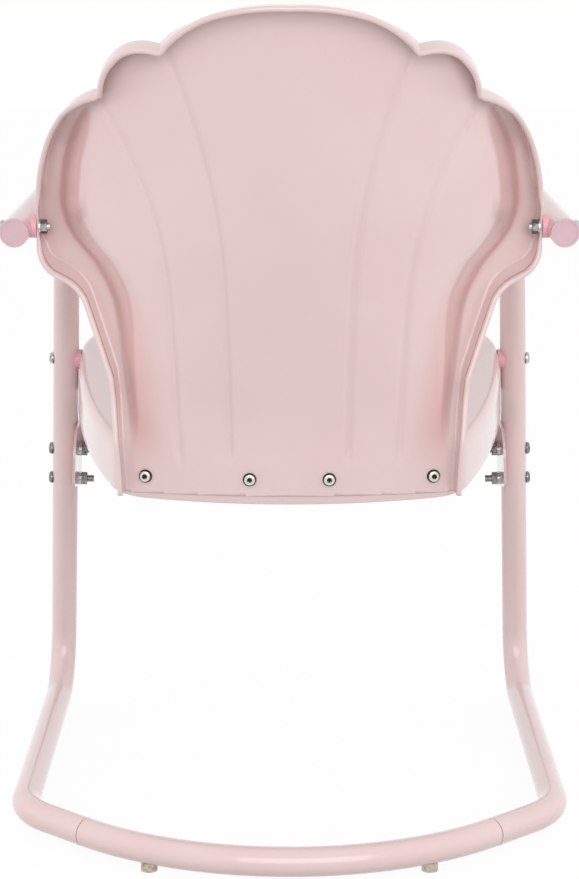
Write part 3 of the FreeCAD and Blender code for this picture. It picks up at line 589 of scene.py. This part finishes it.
def between(line, place):
    """A smooth line through the given points: a cubic from each point to the next."""
    place = max(line[0][0], min(line[-1][0], place))
    index = next(number for number in range(len(line) - 1) if place <= line[number + 1][0])
    (low, first), (high, second) = line[index:index + 2]
    far = (place - low) / (high - low)
    near = 1 - far
    leaving = slope_at(line, index) * (high - low)
    arriving = slope_at(line, index + 1) * (high - low)
    ends = first * near ** 2 * (1 + 2 * far) + second * far ** 2 * (1 + 2 * near)
    return ends + leaving * far * near ** 2 - arriving * far ** 2 * near


def centre_depth(height):
    start = SEAT_REAR_DEPTH - BACK_GAP - SHEET
    if height <= KNEE_HEIGHT:
        return start - SKIRT_LEAN * (height - SEAT_REAR_HEIGHT)
    rise = height - KNEE_HEIGHT
    at_knee = start - SKIRT_LEAN * (KNEE_HEIGHT - SEAT_REAR_HEIGHT)
    if rise < KNEE_BLEND:
        return at_knee - SKIRT_LEAN * rise - (BACK_LEAN - SKIRT_LEAN) * rise ** 2 / (2 * KNEE_BLEND)
    return at_knee - (SKIRT_LEAN + BACK_LEAN) * KNEE_BLEND / 2 - BACK_LEAN * (rise - KNEE_BLEND)


def bow(half_width, radius):
    """A round bow that runs on straight where the circle would turn too steep."""
    limit = BOW_LIMIT * radius
    if half_width <= limit:
        return radius - math.sqrt(radius ** 2 - half_width ** 2)
    edge = math.sqrt(radius ** 2 - limit ** 2)
    return radius - edge + (half_width - limit) * limit / edge


print("the back leans", round(math.degrees(math.atan(BACK_LEAN)), 1), "degrees above its knee")

# %% [markdown]
# A bead is a shallow groove that keeps a large sheet from drumming. Two run up each half of the
# back and fan out towards the notches of its edge. As the press makes them in the sheet itself,
# they are part of the same formula: each one lowers the depth by a smooth profile across its
# line, and fades out at both ends.

# %% Beads
BEAD_LINE = [(340, 60), (500, 62), (590, 65), (660, 73), (720, 86), (770, 101), (822, 121), (860, 137)]
BEAD_WIDTH, BEAD_DROP = 6.5, 2.8
OUTER_BEAD = 1.87
BEAD_START, BEAD_FOOT_FADE, BEAD_HEAD_FADE = 384, 20, 22
BEAD_STOPS = {1.0: 832, OUTER_BEAD: 786}


def bead_drop(half_width, height):
    """How far a bead is pressed forwards."""
    drop = 0
    for share, stop in BEAD_STOPS.items():
        across = abs(half_width - share * between(BEAD_LINE, height)) / BEAD_WIDTH
        ends = ease(height, BEAD_START, BEAD_FOOT_FADE) * smooth((stop - height) / BEAD_HEAD_FADE)
        if across < 1:
            drop += BEAD_DROP * ends * (1 - smooth(across))
    return drop


print("beads end at", list(BEAD_STOPS.values()), "mm above the floor")

# %% [markdown]
# Beside the field the sheet drops forwards in a steep wall and runs out to a flat rim. Low down
# the wall is narrow; higher up it is wider, and near the crown it fades into the plain bow.
# Each range below is a height where a change starts and the span that it takes.

# %% Wall and rim
RIM_INSET, RIM_WIDENS = 13, 7
RIM_WIDENS_OVER = (480, 120)
WALL_WIDTH, WALL_WIDENS = 12, 26
BOW_GROWS_OVER = (KNEE_HEIGHT, 200)
WALL_STEEPNESS = 1.9
WALL_STEEPENS_OVER = (400, 60)
WALL_FADES_OVER = (710, 70)
HEAD_EASE, FOOT_EASE = 0.55, 0.2


def wall_fall(step):
    """How far the wall has fallen: a long ease at its head, an even slope and a short foot."""
    if step < HEAD_EASE:
        return step ** 2 / (2 * HEAD_EASE)
    if step > 1 - FOOT_EASE:
        return 1 - HEAD_EASE / 2 - FOOT_EASE / 2 - (1 - step) ** 2 / (2 * FOOT_EASE)
    return step - HEAD_EASE / 2


def back_depth(half_width, height):
    half_width = abs(half_width)
    bow_share = ease(height, *BOW_GROWS_OVER)
    flat_bow = 1 / (SEAT_REAR_R + BACK_GAP + SHEET)
    radius = 1 / (flat_bow + (1 / WING_R - flat_bow) * bow_share)
    rim = between(RIM_LINE, height) - RIM_INSET - RIM_WIDENS * ease(height, *RIM_WIDENS_OVER)
    wall = rim - WALL_WIDTH - WALL_WIDENS * bow_share
    steep = WALL_STEEPNESS * ease(height, *WALL_STEEPENS_OVER)
    share = 1 - ease(height, *WALL_FADES_OVER)
    plain = bow(half_width, radius)
    pressed = plain
    if half_width > wall:
        slope = wall / math.sqrt(radius ** 2 - wall ** 2)
        width = rim - wall
        step = min(1, (half_width - wall) / width)
        pressed = bow(wall, radius) + width * (
            slope * (step - step ** 2 / 2)
            + RIM_SLOPE * step ** 2 / 2
            + steep * wall_fall(step)
        )
        pressed += RIM_SLOPE * max(0, half_width - rim)
    depth = centre_depth(height) + plain * (1 - share) + pressed * share
    return depth + bead_drop(half_width, height)


print("depth of the back's middle at the top", round(centre_depth(860)), "mm")

# %% [markdown]
# The edge of the back is a row of arcs: a crown, a shoulder, a second lobe, a wing, a waist and
# a foot. The flange all round it points one way, rearwards and slightly down, so the outline
# is drawn on a plane square to that way. Each stretch is an arc through three points, given as
# half width and height along the slanted plane.

# %% The scalloped outline
FLANGE_TURN = math.radians(20)
PLANE_FOOT_DEPTH = 312.5
WING = 260.5
CROWN = [(0, 908), (40, 905.5), (74, 896)]
SHOULDER = [(74, 896), (103, 878), (123.5, 855)]
SECOND_LOBE = [(123.5, 855), (151, 852), (171.5, 835)]
LOBE_SIDE = [(171.5, 835), (182.5, 816), (186.5, 796)]
WING_TOP = [(186.5, 796), (209, 779), (228, 757)]
WING_SIDE = [(228, 757), (252, 701), (WING, 650)]
WING_EDGE = [(WING, 650), (WING, 628), (WING, 606)]
WING_FOOT = [(WING, 606), (256, 587), (244, 577.5)]
WING_UNDER = [(244, 577.5), (237.5, 575.5), (231, 573.5)]
WAIST = [(231, 573.5), (221, 568), (213, 559)]
HIP = [(213, 559), (203.5, 535), (186, 490)]
FOOT = [(186, 490), (181, 440), (177, 330)]
STRAIGHT = 1e-6


def arc_points(stretch, count):
    """Points along the circle through three points, or along a line where they are in line."""
    first, middle, last = (Vector(point) for point in stretch)
    a, b = middle - first, last - first
    turn = 2 * (a.x * b.y - a.y * b.x)
    if abs(turn) < STRAIGHT * a.length * b.length:
        return [first.lerp(last, step / count) for step in range(count)]
    centre = first + Vector((
        b.y * a.length_squared - a.y * b.length_squared,
        a.x * b.length_squared - b.x * a.length_squared,
    )) / turn
    sweep = (first - centre).angle_signed(last - centre)
    points = []
    for step in range(count):
        angle = -sweep * step / count
        points.append(centre + Matrix.Rotation(angle, 2) @ (first - centre))
    return points


def follow(stretches, counts):
    points = []
    for stretch, count in zip(stretches, counts):
        points += arc_points(stretch, count)
    return points + [Vector(stretches[-1][-1])]


TOP_COUNTS = (21, 19, 18, 14, 23, 25)
SIDE_COUNTS = (58, 26, 8, 6, 14, 14, 18)
COLUMNS, ROWS = sum(TOP_COUNTS), sum(SIDE_COUNTS)
quarter_high, corner, quarter_low = arc_points(WING_SIDE, 4)[1:]
top_points = follow(
    [CROWN, SHOULDER, SECOND_LOBE, LOBE_SIDE, WING_TOP, [WING_SIDE[0], quarter_high, corner]],
    TOP_COUNTS,
)
side_points = follow(
    [FOOT[::-1], HIP[::-1], WAIST[::-1], WING_UNDER[::-1], WING_FOOT[::-1], WING_EDGE[::-1],
     [WING_SIDE[2], quarter_low, corner]],
    SIDE_COUNTS,
)
print("outline of the back:", len(top_points), "points on top and", len(side_points), "on each side")

# %% [markdown]
# A point of that plane is carried along the flange's way until it meets the pressed surface. The
# depth depends on the height where it lands, which isn't known beforehand. So the reach is
# guessed, measured and corrected, and after a few turns it no longer changes.

# %% From the slanted plane to the pressed surface
SINE, COSINE = math.sin(FLANGE_TURN), math.cos(FLANGE_TURN)
SLIDE_TURNS = 14


def slide_to_surface(half_width, along, extra=SHEET):
    """How far along the flange's way the surface lies, for a point of the slanted plane."""
    reach = 0.0
    for turn in range(SLIDE_TURNS):
        height = along * COSINE - reach * SINE
        reach = (PLANE_FOOT_DEPTH - along * SINE - back_depth(half_width, height) - extra) / COSINE
    return reach


def slanted(half_width, along, reach):
    depth = PLANE_FOOT_DEPTH - along * SINE - reach * COSINE
    return at(half_width, depth, along * COSINE - reach * SINE)


print("the flange leans", round(math.degrees(FLANGE_TURN)), "degrees from level")

# %% [markdown]
# The flange's root sits a little inside the outline: by the root's own radius, and further where
# the flange flares outwards. It doesn't flare on the second lobes and the wing tops, nor at the
# arm bolts, whose washers lie flat on it.

# %% Draw the outline in to the flange's root
ROOT_R = 4
SIDE_FLARE = 5.5
TOP_STRAIGHTENS_OVER = (730, 60)
CROWN_STRAIGHTENS_OVER = (85, 40)
ARM_BOLT_ALONG = 628
BOLT_CLEAR, BOLT_EASE = 16, 20
rim_points = side_points[:-1] + top_points[::-1]
rim_normals = []
for index, point in enumerate(rim_points):
    before = rim_points[max(0, index - 1)]
    after = rim_points[min(len(rim_points) - 1, index + 1)]
    first = (point - before).normalized() if index else (after - point).normalized()
    second = (after - point).normalized() if index < len(rim_points) - 1 else Vector((-1, 0))
    step = (first + second).normalized()
    rim_normals.append(Vector((step.y, -step.x)))
rim_normals[-1] = Vector((0, 1))


def flare(point):
    """How far the flange leans: along the sides and the crown, but not at the arm bolts."""
    side = 1 - ease(point.y, *TOP_STRAIGHTENS_OVER)
    side *= ease(abs(point.y - ARM_BOLT_ALONG), BOLT_CLEAR, BOLT_EASE)
    crown_share = 1 - ease(point.x, *CROWN_STRAIGHTENS_OVER)
    return SIDE_FLARE * max(side, crown_share)


drawn_in = [
    point - normal * (ROOT_R + flare(point)) for point, normal in zip(rim_points, rim_normals)
]
drawn_in[-1].x = 0
side_in = drawn_in[:len(side_points)]
top_in = drawn_in[len(side_points) - 1:][::-1]
print("the flange's root has", len(drawn_in), "points on each half")

# %% [markdown]
# A plain grid that is trimmed along the scallops would leave slivers there. So the grid is laid
# between four lines: the bottom edge, the middle line, the side and the top. A Coons patch
# blends them, which puts the edge points exactly on the root line, and each point is then
# carried to the pressed surface.

# %% Lay the grid into the root line
side_foot, side_top, crown = side_in[0], side_in[-1], top_in[0]


def sample(points, share):
    place = share * (len(points) - 1)
    index = min(int(place), len(points) - 2)
    return points[index].lerp(points[index + 1], place - index)


def patch(across, up):
    """A point of the Coons patch, as half width and height along the slanted plane."""
    side = sample(side_in, up)
    top = sample(top_in, across)
    climb = (side.y - side_foot.y) / (side_top.y - side_foot.y)
    middle = Vector((0, side_foot.y + climb * (crown.y - side_foot.y)))
    bottom = Vector((across * side_foot.x, side_foot.y))
    corners = (
        (Vector((0, side_foot.y)) * (1 - across) + side_foot * across) * (1 - up)
        + (crown * (1 - across) + side_top * across) * up
    )
    return bottom * (1 - up) + top * up + middle * (1 - across) + side * across - corners


def back_grid():
    """The grid on the pressed surface, and the rim point that each of its edge points stands for."""
    work = bmesh.new()
    bmesh.ops.create_grid(work, x_segments=2 * COLUMNS, y_segments=ROWS, size=1)
    edge_points = {}
    for point in work.verts:
        across, up = abs(point.co.x), (point.co.y + 1) / 2
        sign = 1 if point.co.x >= 0 else -1
        column, row = round(across * COLUMNS), round(up * ROWS)
        if column == COLUMNS:
            edge_points[point] = (sign, row)
        elif row == ROWS:
            edge_points[point] = (sign, ROWS + COLUMNS - column)
        spot = patch(across, up)
        point.co = slanted(sign * spot.x, spot.y, slide_to_surface(spot.x, spot.y))
    return work, edge_points


# %% [markdown]
# From its root the sheet turns rearwards, runs straight back and rolls over into a hem, which
# stiffens the edge and hides the raw cut. The section is a list of steps, and the grid's edge is
# extruded once for each of them.

# %% Section of the rim
FLANGE_DEPTH = 26
HEM_R, FLAT_HEM_R = 2.8, 1.3
HEM_REACH = 5
HEM_CLEAR, HEM_EASE = 12, 16
ROOT_TURNS = (14, 28, 42, 56, 70, 82)
FLANGE_SHARES = (0.33, 0.66, 1)
HEM_TURNS = (30, 60, 90, 120, 150, 180)


def hem_radius(point):
    """The rolled hem is pressed flatter where the arm bolts' washers sit."""
    round_share = ease(abs(point.y - ARM_BOLT_ALONG), HEM_CLEAR, HEM_EASE)
    return FLAT_HEM_R + (HEM_R - FLAT_HEM_R) * round_share


def rim_section(point, normal):
    """Where the rim goes from the pressed surface to its hem: steps outwards and rearwards."""
    inner = point - normal * (ROOT_R + flare(point))
    start = slide_to_surface(inner.x, inner.y)
    hem = hem_radius(point)
    end = slide_to_surface(point.x, point.y, -FLANGE_DEPTH) - hem
    steps = []
    for turn in ROOT_TURNS:
        angle = math.radians(turn)
        outwards = ROOT_R * (math.sin(angle) - 1) - flare(point)
        steps.append((outwards, start + ROOT_R * (1 - math.cos(angle))))
    root_out, root_reach = steps[-1]
    for share in FLANGE_SHARES:
        steps.append((root_out * (1 - share), root_reach + (end - root_reach) * share))
    for turn in HEM_TURNS:
        angle = math.radians(turn)
        steps.append((-hem * (1 - math.cos(angle)), end + hem * math.sin(angle)))
    steps.append((-2 * hem, end - HEM_REACH))
    return [(point + normal * outwards, reach) for outwards, reach in steps]


# %% [markdown]
# An extruded ring comes back with its points in no fixed order. Each new point therefore looks
# at the point that it grew from, and takes over the place of the outline that this one stands
# for. The same helper serves the seat.

# %% Extrude the rim
def both_in(edge, points):
    return all(point in points for point in edge.verts)


def extrude_ring(work, ring, places):
    """Extrude the ring, and say which place of the outline each new point stands for."""
    made = bmesh.ops.extrude_edge_only(work, edges=ring)["geom"]
    fresh = {}
    for point in made:
        if isinstance(point, bmesh.types.BMVert):
            others = [edge.other_vert(point) for edge in point.link_edges]
            fresh[point] = next(places[other] for other in others if other in places)
    edges = [part for part in made if isinstance(part, bmesh.types.BMEdge)]
    return [edge for edge in edges if both_in(edge, fresh)], fresh


def add_rim(work, edge_points):
    """Extrude the grid's edge step by step along the rim's section."""
    sections = [rim_section(point, normal) for point, normal in zip(rim_points, rim_normals)]
    ring = [edge for edge in work.edges if edge.is_boundary and both_in(edge, edge_points)]
    for step in range(len(sections[0])):
        ring, edge_points = extrude_ring(work, ring, edge_points)
        for point, (sign, index) in edge_points.items():
            spot, reach = sections[index][step]
            point.co = slanted(sign * spot.x, spot.y, reach)
    print("rim extruded in", len(sections[0]), "steps")


# %% [markdown]
# Between the walls light is thrown back and forth and takes on the paint's colour. That shade
# is painted: a share is kept in every point of the mesh, 1 along the walls and 0 on the field
# and the rim. The paint reads it as an attribute and turns its colour deeper there.

# %% Where the painted shade of the back's folds lies
FOLD_STARTS_IN, FOLD_RISE = 50, 40
FOLD_FALL = 12
FOLD_STARTS_OVER = (370, 60)
FOLD_ENDS_OVER = (700, 90)


def fold_shade_share(spot):
    half_width, height = abs(spot.x) / MM, spot.z / MM
    rim = between(RIM_LINE, height) - RIM_INSET
    rising = ease(half_width, rim - FOLD_STARTS_IN, FOLD_RISE)
    falling = 1 - ease(half_width, rim - FOLD_FALL, FOLD_FALL)
    ends = ease(height, *FOLD_STARTS_OVER) * (1 - ease(height, *FOLD_ENDS_OVER))
    return rising * falling * ends


print("heights of the folds, in mm:", FOLD_STARTS_OVER[0], "to", sum(FOLD_ENDS_OVER))

# %% [markdown]
# The back's lower edge is a plain cut, level with the floor. No row of the slanted grid is level
# there, so the grid runs on below the edge, and a bisection takes the surplus away. The sheet
# then gets its thickness and the share of painted shade in its folds, and joins the body that
# moves with the sitter.

# %% The back, trimmed along its lower edge
CUT_HEIGHT = 355


def back_sheet():
    work, edge_points = back_grid()
    add_rim(work, edge_points)
    everything = list(work.verts) + list(work.edges) + list(work.faces)
    bmesh.ops.bisect_plane(
        work, geom=everything, plane_co=(0, 0, CUT_HEIGHT * MM), plane_no=(0, 0, 1), clear_inner=True,
    )
    piece = give_wall(make_object("stamped_back", work, paint), SHEET * MM)
    # This share says where the paint lays on its painted shade.
    fold_shade = piece.data.attributes.new("fold_shade", "FLOAT", "POINT")
    for point in piece.data.vertices:
        fold_shade.data[point.index].value = fold_shade_share(point.co)
    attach(piece, "seat_frame")
    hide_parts("back_shell")


back_sheet()

# %% [markdown]
# The seat is stamped too. Its plan is drawn with arcs that run into one another, as a toolmaker
# sets it out, so that the glossy edge shows no kink. Rings of that plan carry the section: hem,
# flared skirt, rounded edge, flat border and a shallow dish.

# %% Plan of the seat
SEAT_HALF = 242.83
SEAT_WIDEST = -361.06
SEAT_LENGTH = 482
REAR_R, SIDE_R, FRONT_R = 600, 864, 700
REAR_CORNER_R, FRONT_CORNER_R = 50, 90
PLAN_COUNTS = (36, 14, 46, 20, 28)
SEAT_TILT = math.radians(-8.8)
SKIRT_DEPTH = 54
SKIRT_FLARE = math.tan(math.radians(2.5))
SEAT_EDGE_R = 8


def touching_centre(first, first_r, second, second_r, radius):
    """Centre of an arc inside two circles that it touches, on the +X side."""
    span = (second - first).length
    reach, other = first_r - radius, second_r - radius
    share = (span ** 2 + reach ** 2 - other ** 2) / (2 * span)
    rise = math.sqrt(reach ** 2 - share ** 2)
    way = (second - first) / span
    options = [first + way * share + Vector((-way.y, way.x)) * side * rise for side in (-1, 1)]
    return max(options, key=lambda centre: centre.x)


def sweep(centre, first, last, count):
    """Points on the shorter arc round the centre, from the first point towards the last."""
    angle = (first - centre).angle_signed(last - centre)
    return [centre + Matrix.Rotation(-angle * step / count, 2) @ (first - centre) for step in range(count)]


def seat_outline():
    """Half of the plan, from the middle of the rear to the middle of the front."""
    rear = Vector((0, -REAR_R))
    side = Vector((SEAT_HALF - SIDE_R, SEAT_WIDEST))
    front = Vector((0, FRONT_R - SEAT_LENGTH))
    rear_corner = touching_centre(rear, REAR_R, side, SIDE_R, REAR_CORNER_R)
    front_corner = touching_centre(front, FRONT_R, side, SIDE_R, FRONT_CORNER_R)
    joints = [
        Vector((0, 0)),
        rear + (rear_corner - rear).normalized() * REAR_R,
        side + (rear_corner - side).normalized() * SIDE_R,
        side + (front_corner - side).normalized() * SIDE_R,
        front + (front_corner - front).normalized() * FRONT_R,
        Vector((0, -SEAT_LENGTH)),
    ]
    centres = [rear, rear_corner, side, front_corner, front]
    points = []
    for centre, first, last, count in zip(centres, joints, joints[1:], PLAN_COUNTS):
        points += sweep(centre, first, last, count)
    return points + [joints[-1]]


half_plan = seat_outline()
plan = half_plan + [Vector((-point.x, point.y)) for point in half_plan[-2:0:-1]]
plan_normals = []
for index, point in enumerate(plan):
    step = plan[(index + 1) % len(plan)] - plan[index - 1]
    plan_normals.append(Vector((-step.y, step.x)).normalized())
print("plan of the seat:", len(plan), "points")

# %% [markdown]
# The section starts at the free edge of the hem, under the skirt. It is a list of steps, each
# one an inset from the plan and a height, and it ends where the shallow dish begins. From there
# the rings shrink towards the middle.

# %% Section of the seat
SEAT_HEM_R, SEAT_HEM_REACH = 1.3, 5
HEM_FOLD = (180, 150, 120, 90, 60, 30, 0)
SKIRT_HEIGHTS = (-40, -28, -17, -8)
EDGE_TURNS = (18, 36, 54, 72, 90)
BORDER_INSETS = (11, 14, 17, 20, 23, 26, 30)
DISH, DISH_AT_BORDER = 5, 0.6
DISH_STARTS_OVER = (12, 18)
DISH_RINGS = (0.93, 0.85, 0.75, 0.64, 0.52, 0.4, 0.28, 0.16, 0.06)
DISH_MIDDLE = 0.5


def seat_section():
    """From the free edge of the folded hem, under the skirt and over the rounded edge."""
    foot = -SKIRT_DEPTH + SEAT_HEM_R
    flare = -foot * SKIRT_FLARE
    steps = [(2 * SEAT_HEM_R - flare, foot + SEAT_HEM_REACH)]
    for turn in HEM_FOLD:
        angle = math.radians(turn)
        inset = SEAT_HEM_R * (1 - math.cos(angle)) - flare
        steps.append((inset, foot - SEAT_HEM_R * math.sin(angle)))
    for height in SKIRT_HEIGHTS:
        steps.append((height * SKIRT_FLARE, height))
    for turn in EDGE_TURNS:
        angle = math.radians(turn)
        steps.append((SEAT_EDGE_R * (1 - math.cos(angle)), SEAT_EDGE_R * (math.sin(angle) - 1)))
    for inset in BORDER_INSETS:
        steps.append((inset, -DISH * DISH_AT_BORDER * ease(inset, *DISH_STARTS_OVER)))
    return steps


section = seat_section()
shrink = []
for share in DISH_RINGS:
    deepening = (1 - DISH_AT_BORDER) * smooth((1 - share) / DISH_MIDDLE)
    shrink.append((share, -DISH * (DISH_AT_BORDER + deepening)))
print("the seat's section has", len(section), "steps and", len(shrink), "shrinking rings")

# %% [markdown]
# The first ring lies at the hem's free edge. It is extruded once for every step, and the last
# small ring is closed with one face. The whole pan is then one surface that a Solidify can give
# an even wall, as a sheet has.

# %% The seat
seat_turn = Matrix.Rotation(SEAT_TILT, 4, "X")
seat_origin = at(0, SEAT_REAR_DEPTH, SEAT_REAR_HEIGHT)
seat_middle = Vector((0, -SEAT_LENGTH * 0.5))


def seat_spot(index, step):
    """Where a point of the plan lies at a step of the section."""
    if step < len(section):
        inset, height = section[step]
        point = plan[index] - plan_normals[index] * inset
    else:
        share, height = shrink[step - len(section)]
        border = plan[index] - plan_normals[index] * section[-1][0]
        point = seat_middle.lerp(border, share)
    return seat_origin + seat_turn @ (Vector((point.x, point.y, height)) * MM)


def seat_sheet():
    work = bmesh.new()
    bmesh.ops.create_circle(work, segments=len(plan), radius=1)
    work.verts.ensure_lookup_table()
    places = {point: index for index, point in enumerate(work.verts)}
    ring = list(work.edges)
    for point, index in places.items():
        point.co = seat_spot(index, 0)
    for step in range(1, len(section) + len(shrink)):
        ring, places = extrude_ring(work, ring, places)
        for point, index in places.items():
            point.co = seat_spot(index, step)
    bmesh.ops.contextual_create(work, geom=ring)
    bmesh.ops.recalc_face_normals(work, faces=work.faces)
    if max(work.faces, key=lambda face: face.calc_center_median().z).normal.z < 0:
        bmesh.ops.reverse_faces(work, faces=work.faces)
    piece = give_wall(make_object("stamped_seat", work, paint), SHEET * MM)
    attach(piece, "seat_frame")
    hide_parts("seat_pan")


seat_sheet()

# %% [markdown]
# The camera stands behind the chair, a little above its top edge, and looks slightly down. Its
# place and its lens were solved from the photo: with a level floor and a symmetric frame, only
# one camera sees the chair's corners where the photo shows them.

# %% Camera
CAMERA_SETBACK = 2.204
CAMERA_HEIGHT = 0.897
CAMERA_PITCH = math.radians(11.5)
PHOTO_HEIGHT = 879
FOCAL_PIXELS = 2358
lens = bpy.data.cameras.new("camera")
lens.sensor_width = 36
lens.lens = FOCAL_PIXELS * lens.sensor_width / PHOTO_HEIGHT
camera = bpy.data.objects.new("camera", lens)
camera.location = (0, REAR_Y + CAMERA_SETBACK, CAMERA_HEIGHT)
camera.rotation_euler = (math.radians(90) - CAMERA_PITCH, 0, math.radians(180))
bpy.context.scene.collection.objects.link(camera)
bpy.context.scene.camera = camera
print("camera", [round(value, 3) for value in camera.location], "lens", round(lens.lens, 2), "mm")

# %% [markdown]
# The photo's background is plain white. A floor and a world that send that much light would wash
# the paint out, so they glow only for rays from the camera, and for those that metal or glass
# passes on. The floor keeps a share of its own paint, which carries the chair's shadow.

# %% Floor
FLOOR_HALF = 12
WHITE_SHARE = 0.9
floor_finish = Finish("studio_floor")
floor_finish.set(Base_Color=(0.5, 0.5, 0.5, 1), Roughness=0.9)
painted = Value(floor_finish, floor_finish.surface.outputs[0])
glowing = floor_finish.add("ShaderNodeEmission", None, {"Strength": 1.05})
glow_share = floor_finish.shown() * WHITE_SHARE
floor_mix = floor_finish.add("ShaderNodeMixShader", None, {0: glow_share, 1: painted, 2: glowing})
floor_finish.feed(floor_finish.tree.nodes["Material Output"].inputs["Surface"], floor_mix)
floor_work = bmesh.new()
bmesh.ops.create_grid(floor_work, x_segments=1, y_segments=1, size=FLOOR_HALF)
make_object("studio_floor", floor_work, floor_finish.material, smooth=False)

# %% [markdown]
# The world is made in the same way: it is full white where it is seen, and sends less light than
# that to the chair.

# %% White surroundings
WORLD_LIGHT = 0.69
world = bpy.data.worlds.new("studio")
bpy.context.scene.world = world
world.use_nodes = True
world.node_tree.nodes.clear()
air = Shader(world.node_tree)
lighting = air.add("ShaderNodeBackground", None, {"Color": (1, 1, 1, 1), "Strength": WORLD_LIGHT})
white = air.add("ShaderNodeBackground", None, {"Color": (1, 1, 1, 1), "Strength": 1.0})
sky = air.add("ShaderNodeMixShader", None, {0: air.shown(), 1: lighting, 2: white})
air.add("ShaderNodeOutputWorld", None, {"Surface": sky}, output=None)
print("the world lights the chair at", WORLD_LIGHT)

# %% [markdown]
# One large soft lamp behind the camera lights the back evenly. Two small ones beside the chair
# light the walls and the tubes' outer sides; they would show as hard white streaks in the glossy
# paint, so the reflections leave them out.

# %% Lamps
LAMP_TARGET = Vector((0, 0, 0.5))


def softbox(name, place, size, power, mirrored=True):
    light = bpy.data.lights.new(name, "AREA")
    light.shape = "RECTANGLE"
    light.size, light.size_y = size
    light.energy = power
    lamp = bpy.data.objects.new(name, light)
    lamp.location = place
    lamp.rotation_euler = (LAMP_TARGET - Vector(place)).to_track_quat("-Z", "Y").to_euler()
    bpy.context.scene.collection.objects.link(lamp)
    lamp.visible_glossy = mirrored
    print(name, power, "W")


softbox("rear_softbox", (-0.3, 3.2, 1.6), (3.0, 2.2), 55)
softbox("left_softbox", (2.4, -0.1, 0.6), (1.2, 0.8), 15, mirrored=False)
softbox("right_softbox", (-2.4, -0.1, 0.6), (1.2, 0.8), 13, mirrored=False)

# %% [markdown]
# The view stays plain, so colours show as they were written.

# %% Plain view
bpy.context.scene.view_settings.view_transform = "Standard"
